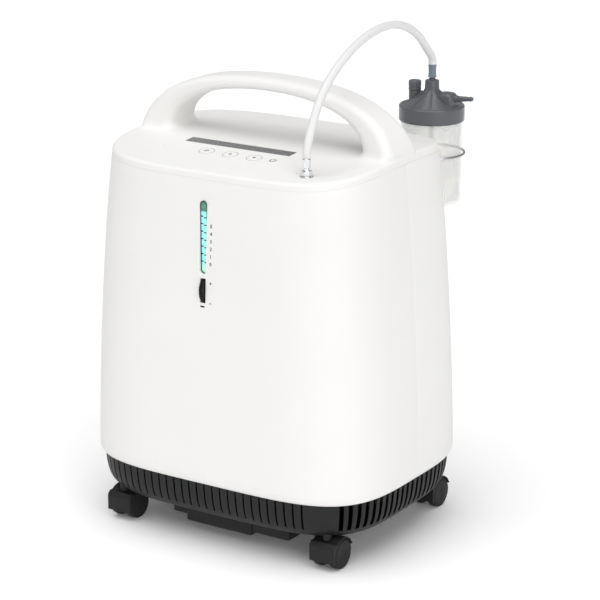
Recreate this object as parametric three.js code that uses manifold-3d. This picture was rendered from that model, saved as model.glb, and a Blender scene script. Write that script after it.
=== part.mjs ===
// Oxygen concentrator on four twin-wheel casters, with its feed hose and humidifier bottle.
// Millimetres, +Z up, the control panel and flowmeter face -Y, +X is to the right of someone facing it.
// The drawing is centred on the casing's axis; the last lines move it so that the
// middle of the whole object's box stands on the origin.
import * as THREE from 'three';
import { mergeVertices } from 'three/addons/utils/BufferGeometryUtils.js';
import Module from 'manifold-3d';

const wasm = await Module();
wasm.setup();

// ---------------------------------------------------------------- driving dimensions
const GAP = 0.3;                       // between pieces that touch
const WALL = 3;                        // moulded shells
const HANDLE_TOP = 548;                // floor to the top of the handle

const CASING = {
  halfWidth: 200, halfDepth: 154.5,    // at the widest level
  topHalfWidth: 176.5, topHalfDepth: 141,
  powerX: 4.3, powerY: 3.75,           // superellipse powers of the plan
  bottom: 85, widest: 97, seam: 464.5, rim: 473,
  crownTilt: 0.016, crownBow: 0.00055, // the top is a low arch from front to rear
  crownStart: 380,
};
const SKIRT = {
  bottom: 40.5, topInset: 5, bottomInset: 19.7,
  sideSlots: 21, sidePitch: 11.2, sideSlot: 5.5,
  endSlots: 24, endPitch: 11, endSlot: 2.4,
};
const TRAY = { bottom: 44.8, thickness: 3, inset: 18.5 };

const CASTER = {
  x: 146, y: 115.5, trail: 9, wheelRadius: 18.5, wheelWidth: 11.2, web: 10,
  hoodRadius: 20.9, hoodHalfWidth: 17, hoodFront: 22, hoodTop: 35.5, hoodBottom: 11.5,
  axleRadius: 2, pinRadius: 3, stemRadius: 5.5,
};

const DISPLAY = { x: -15, y: -51.5, length: 146, depth: 17 };
const BUTTON = { height: 4, y: -81.5, proud: 0.4, travelGap: 0.35 };
const BUTTONS = {
  button_alarm: { x: -42, radius: 8.5 },
  button_down: { x: -9, radius: 8.5 },
  button_up: { x: 24, radius: 8.5 },
  power_button: { x: 50, radius: 6.5 },
};

const FLOWMETER = { x: -3.5, width: 8.6, bottom: 341.6, top: 427, front: -144, back: -130, bore: 2.6 };
const KNOB = { x: -2.8, z: 321.4, radius: 20, width: 6, protrusion: 5.1, clearance: 0.8, ribs: 24 };

const OUTLET = { x: 112.4, y: -108, recess: 2.6, hoseStart: 485 };
const BOTTLE = {
  x: 104, y: 188, bottom: 370, jarTop: 478, bottomRadius: 37, topRadius: 37.6, wall: 2.2,
  lidRadius: 40.1, lidBottom: 472, lidTop: 491, nozzleTop: 530,
};
const RELIEF = { dx: -24, radius: 7.7, postTop: 505.7, top: 518 };
const BARB = { x: 34, z: 502.4, radius: 3.6, length: 25.5 };
const COLLAR = { bottom: 524.5, top: 540, radius: 5 };
const HOSE = { radius: 4.9, sides: 8, steps: 36 };
const RING = { z: 431.5, radius: 40.4, wire: 1.6 };

const DOOR = { x: -52, z: 322, width: 96, height: 150 };
const INLET = { x: 60, z: 132, width: 48, height: 28, depth: 26 };
const BREAKER = { x: 104, z: 132, radius: 5 };

const BEDS = { x: 122, y: -82, radius: 36, bottom: 62, top: 398 };
const TANK = { x: 0, y: -84, radius: 38, bottom: 62, top: 280 };
const COMPRESSOR = { y: 40, z: 118, motorRadius: 46, motorLength: 96, caseLength: 34, plate: 62.5 };
const FAN = { y: 40, bottom: 252, height: 38, side: 150, bore: 66, blades: 7 };

// ---------------------------------------------------------------- materials
const surface = (color, roughness, metalness = 0, opacity = 1) => new THREE.MeshStandardMaterial({
  color, roughness, metalness, opacity, transparent: opacity < 1,
});
const LOOKS = {
  white: surface(0xf1f1f0, 0.38),
  black: surface(0x26272a, 0.55),
  glossBlack: surface(0x17181a, 0.3),
  display: surface(0x55585a, 0.2),
  glow: surface(0xbff7f4, 0.25, 0, 0.8),
  lidGrey: surface(0x5f656a, 0.42),
  collarGrey: surface(0x8b969f, 0.45),
  clear: surface(0xeef3f3, 0.1, 0, 0.35),
  silicone: surface(0xf4f3f6, 0.35, 0, 0.8),
  chrome: surface(0xcfd3d8, 0.15, 1),
  aluminium: surface(0xb4b8bc, 0.4, 1),
  steel: surface(0x8e9194, 0.35, 1),
  rubber: surface(0x1d1d1e, 0.85),
  foam: surface(0x3a3c3f, 0.95),
  board: surface(0x1f5b3a, 0.5),
};

// ---------------------------------------------------------------- solids
function toSolid(geometry) {
  const bare = geometry.clone();
  for (const name of ['normal', 'uv']) bare.deleteAttribute(name);
  const merged = mergeVertices(bare, 1e-4);
  const place = merged.attributes.position;
  const corners = [new THREE.Vector3(), new THREE.Vector3(), new THREE.Vector3()];
  const kept = [];
  let volume = 0;
  for (let i = 0; i < merged.index.count; i += 3) {
    const [a, b, c] = [0, 1, 2].map((k) => merged.index.getX(i + k));
    if (a === b || b === c || a === c) continue;
    [a, b, c].forEach((vertex, k) => corners[k].fromBufferAttribute(place, vertex));
    volume += corners[0].dot(corners[1].clone().cross(corners[2]));
    kept.push(a, b, c);
  }
  if (volume < 0) kept.reverse();
  return new wasm.Manifold(new wasm.Mesh({
    numProp: 3, vertProperties: new Float32Array(place.array), triVerts: new Uint32Array(kept),
  }));
}

function toGeometry(solid) {
  const mesh = solid.getMesh();
  const geometry = new THREE.BufferGeometry();
  geometry.setAttribute('position', new THREE.BufferAttribute(mesh.vertProperties, 3));
  geometry.setIndex(new THREE.BufferAttribute(mesh.triVerts, 1));
  geometry.computeVertexNormals();
  return geometry;
}

const join = (first, ...others) => others.reduce((sum, solid) => sum.add(solid), first);
const cut = (first, ...others) => others.reduce((rest, solid) => rest.subtract(solid), first);
const common = (first, second) => first.intersect(second);

// A box between two opposite corners.
function block(low, high) {
  const size = high.map((value, axis) => value - low[axis]);
  const middle = high.map((value, axis) => (value + low[axis]) / 2);
  return toSolid(new THREE.BoxGeometry(...size).translate(...middle));
}

// A cylinder centred on a point, along x, y or z.
function rod(axis, radius, length, [x, y, z], sides = 16) {
  const geometry = new THREE.CylinderGeometry(radius, radius, length, sides);
  if (axis === 'x') geometry.rotateZ(Math.PI / 2);
  if (axis === 'z') geometry.rotateX(Math.PI / 2);
  return toSolid(geometry.translate(x, y, z));
}

// A turned piece about a vertical axis through x, y; the profile is [radius, z] pairs.
function turned(profile, [x, y] = [0, 0], sides = 24) {
  const points = profile.map(([radius, z]) => new THREE.Vector2(radius, z));
  return toSolid(new THREE.LatheGeometry(points, sides).rotateX(Math.PI / 2).translate(x, y, 0));
}

function sphere(radius, [x, y, z], sides = 12) {
  return toSolid(new THREE.SphereGeometry(radius, sides, sides / 2).translate(x, y, z));
}

// An outline in the Y-Z plane, extruded along X and centred on x = 0.
function sideProfile(outline, width) {
  const shape = new THREE.Shape(outline.map(([y, z]) => new THREE.Vector2(y, z)));
  const geometry = new THREE.ExtrudeGeometry(shape, { depth: width, bevelEnabled: false, steps: 1 });
  geometry.rotateX(Math.PI / 2).rotateZ(Math.PI / 2);
  return toSolid(geometry.translate(-width / 2, 0, 0));
}

// ---------------------------------------------------------------- the casing's form
// How far the sides have drawn in at a level: nearly upright low down, more tapered higher up.
function drawIn(level) {
  const rise = THREE.MathUtils.clamp((level - CASING.widest) / (CASING.rim - CASING.widest), 0, 1);
  return 0.35 * rise + 0.65 * rise * rise;
}
const halfWidth = (level) => THREE.MathUtils.lerp(CASING.halfWidth, CASING.topHalfWidth, drawIn(level));
const halfDepth = (level) => THREE.MathUtils.lerp(CASING.halfDepth, CASING.topHalfDepth, drawIn(level));
const crown = (y) => CASING.crownTilt * y - CASING.crownBow * y * y;
const crownShare = (level) => THREE.MathUtils.smoothstep(level, CASING.crownStart, CASING.seam);
const topAt = (y) => CASING.rim + crown(y);

// A solid with the casing's plan. Each ring is [level, inset, share of the half size].
function casingSolid(rings, sides = 40) {
  const profile = rings.map((ring, index) => new THREE.Vector2(ring[2] ?? 1, index));
  const geometry = new THREE.LatheGeometry(profile, sides);
  const place = geometry.attributes.position;
  for (let i = 0; i < place.count; i += 1) {
    const [level, inset] = rings[Math.round(place.getY(i))];
    const share = Math.hypot(place.getX(i), place.getZ(i));
    const angle = Math.atan2(place.getZ(i), place.getX(i));
    const spread = (value, power) => Math.sign(value) * Math.abs(value) ** (2 / power);
    const x = share * (halfWidth(level) - inset) * spread(Math.cos(angle), CASING.powerX);
    const y = share * (halfDepth(level) - inset) * spread(Math.sin(angle), CASING.powerY);
    const tiny = (value) => (Math.abs(value) < 1e-6 ? 0 : value);
    place.setXYZ(i, tiny(x), tiny(y), level + crown(tiny(y)) * crownShare(level));
  }
  return toSolid(geometry);
}

const frontFace = (z, x = 0) => {
  const across = (Math.abs(x) / halfWidth(z)) ** CASING.powerX;
  return -halfDepth(z) * (1 - across) ** (1 / CASING.powerY);
};
const rearFace = (z, x = 0) => -frontFace(z, x);

// ---------------------------------------------------------------- the object
const concentrator = new THREE.Group();

function add(name, solid, look, group = concentrator) {
  const mesh = new THREE.Mesh(toGeometry(solid), look);
  mesh.name = name;
  group.add(mesh);
  return mesh;
}

// ---- white shells
const SHELL_LEVELS = [90, 97, 190, 280, 350, 400, 440];

function wholeShell() {
  const { bottom, seam } = CASING;
  const outside = casingSolid([
    [bottom, 5, 0], [bottom, 5], ...SHELL_LEVELS.map((level) => [level, level < CASING.widest ? 1.5 : 0]),
    [seam - GAP, 0], [seam - GAP, 0, 0.5], [seam - GAP, 0, 0],
  ]);
  const inside = casingSolid([
    [bottom - 2, 5 + WALL, 0], [bottom - 2, 5 + WALL],
    ...SHELL_LEVELS.slice(1).map((level) => [level, WALL]),
    [seam + 2, WALL], [seam + 2, WALL, 0.5], [seam + 2, WALL, 0],
  ]);
  return cut(outside, inside);
}

const shell = wholeShell();
const REACH = 260;                     // longer than any half size of the casing
const frontHalf = block([-REACH, -REACH, 0], [REACH, -GAP / 2, HANDLE_TOP]);
const rearHalf = block([-REACH, GAP / 2, 0], [REACH, REACH, HANDLE_TOP]);

function flowmeterSlot(clearance) {
  const { x, width, bottom, top } = FLOWMETER;
  const half = width / 2 + clearance;
  const low = -REACH;
  const high = FLOWMETER.back;
  return join(
    block([x - half, low, bottom + width / 2], [x + half, high, top - width / 2]),
    rod('y', half, high - low, [x, (low + high) / 2, bottom + width / 2], 16),
    rod('y', half, high - low, [x, (low + high) / 2, top - width / 2], 16),
  );
}

const knobAxisY = frontFace(KNOB.z) - KNOB.protrusion + KNOB.radius;

function frontShell() {
  const knobSlot = rod(
    'x', KNOB.radius + KNOB.clearance, KNOB.width + 2 * KNOB.clearance, [KNOB.x, knobAxisY, KNOB.z], 36);
  return cut(common(shell, frontHalf), flowmeterSlot(GAP), knobSlot);
}
add('front_shell', frontShell(), LOOKS.white);

function doorBlock(clearance) {
  const halfX = DOOR.width / 2 + clearance;
  const halfZ = DOOR.height / 2 + clearance;
  return block(
    [DOOR.x - halfX, 100, DOOR.z - halfZ], [DOOR.x + halfX, REACH, DOOR.z + halfZ]);
}

function rearShell() {
  const inlet = block(
    [INLET.x - INLET.width / 2 - GAP, 100, INLET.z - INLET.height / 2 - GAP],
    [INLET.x + INLET.width / 2 + GAP, REACH, INLET.z + INLET.height / 2 + GAP]);
  const breaker = rod('y', BREAKER.radius + 0.4, 120, [BREAKER.x, 150, BREAKER.z]);
  return cut(common(shell, rearHalf), doorBlock(0.6), inlet, breaker);
}
add('rear_shell', rearShell(), LOOKS.white);

// ---- filter door: a louvred panel of the rear wall, hinged along its outer edge
function filterDoor() {
  const louvres = [];
  const count = 9;
  for (let i = 0; i < count; i += 1) {
    const z = DOOR.z + (i - (count - 1) / 2) * 14;
    louvres.push(block([DOOR.x - 36, 100, z - 2.5], [DOOR.x + 36, REACH, z + 2.5]));
  }
  return cut(common(shell, doorBlock(0)), ...louvres);
}
add('filter_door', filterDoor(), LOOKS.white);
add('intake_filter', block(
  [DOOR.x - 40, 122, DOOR.z - 68], [DOOR.x + 40, 136, DOOR.z + 68]), LOOKS.foam);

const outletSeat = topAt(OUTLET.y) - OUTLET.recess;   // a flat spot under the outlet's flange

// ---- top cover: a crowned lid with a rolled edge, holes for the panel and the outlet
function topCover() {
  const { seam, rim } = CASING;
  const outside = casingSolid([
    [seam, 0, 0], [seam, 0], [rim - 4.5, 0.8], [rim - 1.3, 3.6], [rim, 8],
    [rim, 8, 0.7], [rim, 8, 0.35], [rim, 8, 0],
  ]);
  const under = rim - WALL;
  const inside = casingSolid([
    [seam - 2, WALL, 0], [seam - 2, WALL], [under, WALL + 6],
    [under, WALL + 6, 0.7], [under, WALL + 6, 0.35], [under, WALL + 6, 0],
  ]);
  const display = block(
    [DISPLAY.x - DISPLAY.length / 2 - GAP, DISPLAY.y - DISPLAY.depth / 2 - GAP, 440],
    [DISPLAY.x + DISPLAY.length / 2 + GAP, DISPLAY.y + DISPLAY.depth / 2 + GAP, 490]);
  const holes = Object.values(BUTTONS).map(
    ({ x, radius }) => rod('z', radius + BUTTON.travelGap, 60, [x, BUTTON.y, 465], 20));
  const outlet = rod('z', 5.5 + GAP, 60, [OUTLET.x, OUTLET.y, 465]);
  const seat = rod('z', 8, 20, [OUTLET.x, OUTLET.y, outletSeat + 10]);
  return cut(outside, inside, display, ...holes, outlet, seat);
}
add('top_cover', topCover(), LOOKS.white);

// ---- display strip and buttons
const displayTop = topAt(DISPLAY.y - DISPLAY.depth / 2);
add('display_lens', block(
  [DISPLAY.x - DISPLAY.length / 2, DISPLAY.y - DISPLAY.depth / 2, displayTop - 4],
  [DISPLAY.x + DISPLAY.length / 2, DISPLAY.y + DISPLAY.depth / 2, displayTop]), LOOKS.display);

for (const [name, { x, radius }] of Object.entries(BUTTONS)) {
  const middle = topAt(BUTTON.y) + BUTTON.proud - BUTTON.height / 2;
  add(name, rod('z', radius, BUTTON.height, [x, BUTTON.y, middle], 20), LOOKS.white);
}

// ---- carrying handle: a deep arch that widens into two feet flush with the sides
// The arch is a bar of four-sided sections. For each section the outer and inner curves give
// x and z, and the four edges have their own y.
const HANDLE_SEGMENTS = 28;
const outerArch = new THREE.CubicBezierCurve(
  new THREE.Vector2(0, HANDLE_TOP), new THREE.Vector2(103, HANDLE_TOP),
  new THREE.Vector2(159, 523), new THREE.Vector2(176.6, 466));
const innerArch = new THREE.CubicBezierCurve(
  new THREE.Vector2(0, 531.5), new THREE.Vector2(76, 531.5),
  new THREE.Vector2(127, 512), new THREE.Vector2(133, 468));
const EDGES = {                        // y at the top of the arch and at the foot
  outerFront: [-24, -38], outerRear: [18, 28], innerFront: [-27, -29], innerRear: [20, 27],
};

function handleBar() {
  const geometry = new THREE.BoxGeometry(2, 1, 1, HANDLE_SEGMENTS, 2, 2);
  const place = geometry.attributes.position;
  for (let i = 0; i < place.count; i += 1) {
    const along = Math.abs(place.getX(i));
    const side = Math.sign(place.getX(i));
    const outer = outerArch.getPoint(along);
    const inner = innerArch.getPoint(along);
    const height = place.getZ(i) + 0.5;             // 0 on the inner curve, 1 on the outer
    const depth = place.getY(i) + 0.5;              // 0 at the front, 1 at the rear
    const edge = ([atTop, atFoot]) => THREE.MathUtils.lerp(atTop, atFoot, along ** 3);
    const front = THREE.MathUtils.lerp(edge(EDGES.innerFront), edge(EDGES.outerFront), height);
    const rear = THREE.MathUtils.lerp(edge(EDGES.innerRear), edge(EDGES.outerRear), height);
    const x = THREE.MathUtils.lerp(inner.x, outer.x, height);
    const z = THREE.MathUtils.lerp(inner.y, outer.y, height);
    place.setXYZ(i, side * x, THREE.MathUtils.lerp(front, rear, depth), z);
  }
  const overCover = casingSolid([
    [CASING.rim - 12, -20, 0], [CASING.rim - 12, -20], [CASING.rim + GAP, -20],
    [CASING.rim + GAP, -20, 0.7], [CASING.rim + GAP, -20, 0.35], [CASING.rim + GAP, -20, 0],
  ]);
  return cut(toSolid(geometry), overCover);
}
add('handle', handleBar(), LOOKS.white);

// ---- black skirt with air slots, floor tray and exhaust duct
function baseSkirt() {
  const { bottom, topInset, bottomInset } = SKIRT;
  const top = CASING.bottom - GAP;
  const slotBottom = bottom + 11;
  const slotInset = topInset + 7;
  const outside = casingSolid([
    [bottom, bottomInset, 0], [bottom, bottomInset], [bottom + 3, bottomInset - 3.5],
    [slotBottom, slotInset], [top, topInset], [top, topInset, 0],
  ]);
  const inside = casingSolid([
    [bottom + 3.8, bottomInset - 1.8, 0], [bottom + 3.8, bottomInset - 1.8],
    [slotBottom, slotInset + WALL], [top + 1, topInset + WALL], [top + 1, topInset + WALL, 0],
  ]);
  const opening = casingSolid([[bottom - 2, 25, 0], [bottom - 2, 25], [bottom + 6, 25], [bottom + 6, 25, 0]]);
  const slots = [];
  const { sideSlots, sidePitch, sideSlot, endSlots, endPitch, endSlot } = SKIRT;
  const low = slotBottom + 0.5;
  const high = top - 3;
  for (let i = 0; i < sideSlots; i += 1) {
    const y = (i - (sideSlots - 1) / 2) * sidePitch;
    slots.push(block([-REACH, y - sideSlot / 2, low], [REACH, y + sideSlot / 2, high]));
  }
  for (let i = 0; i < endSlots; i += 1) {
    const x = (i - (endSlots - 1) / 2) * endPitch;
    slots.push(block([x - endSlot / 2, -REACH, low], [x + endSlot / 2, REACH, high]));
  }
  const stems = casterPlaces.map(({ x, y }) => rod('z', CASTER.stemRadius + GAP, 20, [x, y, bottom]));
  return cut(outside, inside, opening, ...slots, ...stems);
}

const casterPlaces = [];
for (const [row, y] of [['front', -CASTER.y], ['rear', CASTER.y]]) {
  for (const [hand, x] of [['left', -CASTER.x], ['right', CASTER.x]]) {
    casterPlaces.push({ name: `${row}_${hand}`, x, y });
  }
}
add('base_skirt', baseSkirt(), LOOKS.black);

const trayTop = TRAY.bottom + TRAY.thickness;
add('base_tray', casingSolid([
  [TRAY.bottom, TRAY.inset, 0], [TRAY.bottom, TRAY.inset], [trayTop, TRAY.inset], [trayTop, TRAY.inset, 0],
], 40), LOOKS.black);

function bottomDuct() {
  const top = TRAY.bottom - GAP;
  return join(
    block([-54, -116, 17], [40, -40, top]),
    block([-76, -112, 23], [-50, -40, top]),
    block([36, -114, 21], [92, -40, top]),
  );
}
add('bottom_duct', bottomDuct(), LOOKS.black);

// ---- casters
const stemTop = TRAY.bottom - GAP;

function casterHood() {
  const { hoodHalfWidth, hoodRadius, hoodFront, hoodTop, hoodBottom, wheelRadius, web } = CASTER;
  const width = 2 * hoodHalfWidth;
  const axleZ = wheelRadius;
  const frontEdge = -hoodFront;
  const boss = sideProfile([
    [0, hoodBottom], [frontEdge + 2.5, hoodBottom], [frontEdge, hoodBottom + 5],
    [frontEdge, hoodTop - 4], [frontEdge + 4, hoodTop], [0, hoodTop],
  ], width);
  const round = rod('x', hoodRadius, width, [0, 0, axleZ], 24);
  const wells = [-1, 1].map((side) => rod(
    'x', wheelRadius + 0.6, hoodHalfWidth, [side * (web / 2 + hoodHalfWidth / 2), 0, axleZ], 24));
  const below = block([-width, -60, -10], [width, 60, hoodBottom]);
  const behind = block([-width, 9, -10], [width, 60, axleZ + 5.5]);
  const socket = join(
    rod('z', CASTER.pinRadius + 0.4, 30, [0, -CASTER.trail, hoodTop], 16),
    rod('z', CASTER.stemRadius + 0.4, 10, [0, -CASTER.trail, hoodTop + 5], 20));
  const axle = rod('x', CASTER.axleRadius, width - 4, [0, 0, axleZ], 12);
  return join(cut(join(boss, round), ...wells, below, behind, socket), axle);
}

function casterWheel() {
  const { wheelRadius, wheelWidth, axleRadius } = CASTER;
  const half = wheelWidth / 2;
  const bore = axleRadius + 0.1;
  return turned([
    [bore, -half], [wheelRadius, -half], [wheelRadius, half - 2], [wheelRadius - 2, half],
    [0, half], [0, half - 1.2], [bore, half - 1.2], [bore, -half],
  ]);
}

const hood = casterHood();
const stem = join(
  rod('z', CASTER.stemRadius, stemTop - CASTER.hoodTop - GAP, [0, 0, (stemTop + CASTER.hoodTop + GAP) / 2], 20),
  rod('z', CASTER.pinRadius, 14, [0, 0, CASTER.hoodTop - 6], 16),
);
const wheelSolid = casterWheel();

for (const { name, x, y } of casterPlaces) {
  const caster = new THREE.Group();
  caster.position.set(x, y, 0);
  concentrator.add(caster);
  add(`caster_${name}_stem`, stem, LOOKS.steel, caster);
  const swivel = new THREE.Group();
  swivel.position.y = CASTER.trail;
  caster.add(swivel);
  add(`caster_${name}_hood`, hood, LOOKS.black, swivel);
  for (const [hand, side] of [['left', -1], ['right', 1]]) {
    const wheel = add(`caster_${name}_wheel_${hand}`, wheelSolid, LOOKS.rubber, swivel);
    wheel.rotation.y = side * Math.PI / 2;
    wheel.position.set(side * (CASTER.web / 2 + 0.4 + CASTER.wheelWidth / 2), 0, CASTER.wheelRadius);
  }
}

// ---- flowmeter: graduated tube, float, thumbwheel and needle valve
function flowTube() {
  const { x, front, back, bore } = FLOWMETER;
  const body = common(flowmeterSlot(0), block([x - 10, front, 300], [x + 10, back + GAP, 450]));
  return cut(body, rod('z', bore, 200, [x, (front + back) / 2, 384], 16));
}
add('flow_tube', flowTube(), LOOKS.glow);
add('flow_float', sphere(2.2, [FLOWMETER.x, (FLOWMETER.front + FLOWMETER.back) / 2, 348]), LOOKS.chrome);

function flowKnob() {
  const disc = rod('x', KNOB.radius, KNOB.width, [KNOB.x, knobAxisY, KNOB.z], KNOB.ribs * 2);
  const flutes = [];
  for (let i = 0; i < KNOB.ribs; i += 1) {
    const angle = (i / KNOB.ribs) * 2 * Math.PI;
    flutes.push(toSolid(new THREE.BoxGeometry(KNOB.width + 2, 1.8, 2)
      .translate(0, KNOB.radius, 0).rotateX(angle).translate(KNOB.x, knobAxisY, KNOB.z)));
  }
  const spindle = rod('x', 3, KNOB.width + 8, [KNOB.x + 4, knobAxisY, KNOB.z], 16);
  return join(cut(disc, ...flutes), spindle);
}
add('flow_knob', flowKnob(), LOOKS.glossBlack);

function flowValve() {
  const back = knobAxisY + KNOB.radius + 14;
  const left = KNOB.x - 12;
  const right = KNOB.x + 26;
  const body = block([left, knobAxisY + KNOB.radius + 1.5, KNOB.z - 18], [right, back, FLOWMETER.top + 4]);
  const cheek = block(
    [KNOB.x + KNOB.width / 2 + 1, knobAxisY - 8, KNOB.z - 10],
    [KNOB.x + KNOB.width / 2 + 14, knobAxisY + KNOB.radius + 3, KNOB.z + 10]);
  const bearing = rod('x', 3.1, 30, [KNOB.x + 4, knobAxisY, KNOB.z], 16);
  return cut(join(body, cheek), bearing);
}
add('flow_valve', flowValve(), LOOKS.aluminium);

// ---- oxygen outlet and feed hose
function outletFitting() {
  const flangeZ = outletSeat + GAP;
  const nutTop = flangeZ + 9;
  const top = OUTLET.hoseStart - GAP;
  const spigot = turned([
    [0, flangeZ - 14], [5.5, flangeZ - 14], [5.5, flangeZ], [7.2, flangeZ], [7.2, flangeZ + 1.6],
    [5, flangeZ + 1.6], [5, nutTop], [3.4, nutTop], [3.4, nutTop + 2], [4.6, nutTop + 3],
    [4.6, top - 1], [3.8, top], [0, top],
  ], [OUTLET.x, OUTLET.y], 24);
  const nut = rod('z', 6.2, 6, [OUTLET.x, OUTLET.y, flangeZ + 4.6], 6);
  return join(spigot, nut);
}
add('outlet_fitting', outletFitting(), LOOKS.chrome);

const hoseRoute = [                    // the hose's centre line, from the outlet to the bottle
  [112.4, -108, OUTLET.hoseStart], [112.4, -107.6, 492], [112.2, -104.4, 502], [111.9, -97.2, 517],
  [111.5, -82.5, 541], [111, -66.5, 558], [110.4, -46, 572.5], [109.8, -22, 585], [109.1, 6, 595.5],
  [108.3, 34, 602], [107.5, 64, 605], [106.6, 96, 603], [105.9, 124, 595], [105.1, 152, 580],
  [104.4, 172.5, 562], [104, 186, 549.5], [104, 188, 544.5], [BOTTLE.x, BOTTLE.y, COLLAR.top + GAP],
];

function feedHose() {
  const route = new THREE.CatmullRomCurve3(hoseRoute.map((point) => new THREE.Vector3(...point)));
  const section = new THREE.Shape();
  for (let i = 0; i < HOSE.sides; i += 1) {
    const angle = (i / HOSE.sides) * 2 * Math.PI;
    const point = [HOSE.radius * Math.cos(angle), HOSE.radius * Math.sin(angle)];
    if (i === 0) section.moveTo(...point);
    else section.lineTo(...point);
  }
  const options = { steps: HOSE.steps, extrudePath: route, bevelEnabled: false };
  return toSolid(new THREE.ExtrudeGeometry(section, options));
}
add('feed_hose', feedHose(), LOOKS.silicone);
add('hose_collar', cut(
  rod('z', COLLAR.radius, COLLAR.top - COLLAR.bottom, [BOTTLE.x, BOTTLE.y, (COLLAR.top + COLLAR.bottom) / 2], 20),
  rod('z', 3.3, 14, [BOTTLE.x, BOTTLE.y, COLLAR.bottom], 16),
), LOOKS.collarGrey);

// ---- humidifier bottle
const bottleAxis = [BOTTLE.x, BOTTLE.y];

function humidifierLid() {
  const { lidRadius, lidBottom, lidTop, jarTop, topRadius } = BOTTLE;
  const cap = turned([
    [0, jarTop + 1], [topRadius + 0.5, jarTop + 1], [topRadius + 0.5, lidBottom], [lidRadius, lidBottom],
    [lidRadius, lidTop - 2], [lidRadius - 2, lidTop], [27, lidTop + 7], [13, lidTop + 14], [9, lidTop + 18],
    [8.5, 521], [4, 521], [4, 522.5], [3, 523.5], [3, BOTTLE.nozzleTop], [0, BOTTLE.nozzleTop],
  ], bottleAxis, 28);
  const postBase = lidTop - 1;
  const reliefPost = rod('z', RELIEF.radius - 0.2, RELIEF.postTop - postBase, [
    BOTTLE.x + RELIEF.dx, BOTTLE.y, (RELIEF.postTop + postBase) / 2,
  ], 20);
  const hump = turned([
    [0, lidTop - 2], [12, lidTop - 2], [12, BARB.z + 1.6], [9, BARB.z + 6], [0, BARB.z + 6],
  ], [BOTTLE.x + 21, BOTTLE.y], 20);
  const barb = toSolid(new THREE.CylinderGeometry(2.3, BARB.radius, BARB.length, 16)
    .rotateZ(-Math.PI / 2).translate(BOTTLE.x + BARB.x + BARB.length / 2 - 3, BOTTLE.y, BARB.z));
  const stemHole = rod('z', 4.2, 12, [BOTTLE.x, BOTTLE.y, jarTop + 1], 16);
  return cut(join(cap, reliefPost, hump, barb), stemHole);
}
add('humidifier_lid', humidifierLid(), LOOKS.lidGrey);

add('relief_cap', turned([
  [0, RELIEF.postTop + GAP], [RELIEF.radius, RELIEF.postTop + GAP],
  [RELIEF.radius, RELIEF.top - 1], [RELIEF.radius - 1, RELIEF.top], [0, RELIEF.top],
], [BOTTLE.x + RELIEF.dx, BOTTLE.y], 24), LOOKS.lidGrey);

function humidifierJar() {
  const { bottom, jarTop, bottomRadius, topRadius, wall } = BOTTLE;
  const top = jarTop + 1 - GAP;
  return turned([
    [0, bottom], [bottomRadius - 3, bottom], [bottomRadius, bottom + 3], [topRadius, top],
    [topRadius - wall, top], [bottomRadius - wall, bottom + 4], [bottomRadius - wall - 2, bottom + wall],
    [0, bottom + wall],
  ], bottleAxis, 28);
}
add('humidifier_jar', humidifierJar(), LOOKS.clear);

add('diffuser_tube', turned([
  [0, BOTTLE.bottom + 8], [7, BOTTLE.bottom + 8], [7, BOTTLE.bottom + 24], [3.5, BOTTLE.bottom + 27],
  [3.5, BOTTLE.jarTop + 6], [0, BOTTLE.jarTop + 6],
], bottleAxis, 16), LOOKS.clear);

// A ring around the bottle, with a round section.
function wireRing(wire) {
  const profile = [];
  const corners = 8;
  for (let i = 0; i <= corners; i += 1) {
    const angle = ((i % corners) / corners) * 2 * Math.PI;
    profile.push([RING.radius + wire * Math.cos(angle), RING.z + wire * Math.sin(angle)]);
  }
  return turned(profile, bottleAxis, 28);
}
add('bottle_ring', wireRing(RING.wire), LOOKS.steel);

// A plate on the rear wall, with a shelf under the jar and a jaw that grips the ring.
function bottleBracket() {
  const { x, y, bottom } = BOTTLE;
  const shelfTop = bottom - GAP;
  const face = rearFace(RING.z, x + 20);
  const ringNear = y - RING.radius - RING.wire;
  const plate = block([x - 22, face + 2, shelfTop - 8], [x + 2, ringNear + 5, RING.z + 7]);
  const shelf = block([x - 22, face + 2, shelfTop - 4], [x + 2, y - 4, shelfTop]);
  const jarRoom = turned([
    [0, shelfTop], [BOTTLE.topRadius + 0.6, shelfTop], [BOTTLE.topRadius + 0.6, 500], [0, 500],
  ], bottleAxis, 28);
  const casing = casingSolid([
    [300, -GAP, 0], [300, -GAP], [350, -GAP], [400, -GAP], [440, -GAP], [460, -GAP], [460, -GAP, 0],
  ]);
  const trimmed = cut(join(plate, shelf), jarRoom, wireRing(RING.wire + GAP), casing);
  return trimmed;
}
add('bottle_bracket', bottleBracket(), LOOKS.white);

// ---- rear sockets
function powerInlet() {
  const face = rearFace(INLET.z, INLET.x + INLET.width / 2);
  const outer = block(
    [INLET.x - INLET.width / 2, face - INLET.depth, INLET.z - INLET.height / 2],
    [INLET.x + INLET.width / 2, face + 0.5, INLET.z + INLET.height / 2]);
  const socket = block(
    [INLET.x - 12, face - 18, INLET.z - 8], [INLET.x + 12, face + 5, INLET.z + 8]);
  return cut(outer, socket);
}
add('power_inlet', powerInlet(), LOOKS.black);
add('breaker_button', rod('y', BREAKER.radius, 16, [
  BREAKER.x, rearFace(BREAKER.z, BREAKER.x) - 5, BREAKER.z,
]), LOOKS.glossBlack);

// ---- compressor on four rubber mounts
for (const [name, x, y] of [
  ['front_left', -62, -34], ['front_right', 62, -34], ['rear_left', -62, 34], ['rear_right', 62, 34],
]) {
  const low = trayTop + GAP;
  add(`isolator_${name}`, rod('z', 10, COMPRESSOR.plate - GAP - low, [
    x, COMPRESSOR.y + y, (COMPRESSOR.plate - GAP + low) / 2,
  ], 16), LOOKS.rubber);
}

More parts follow.
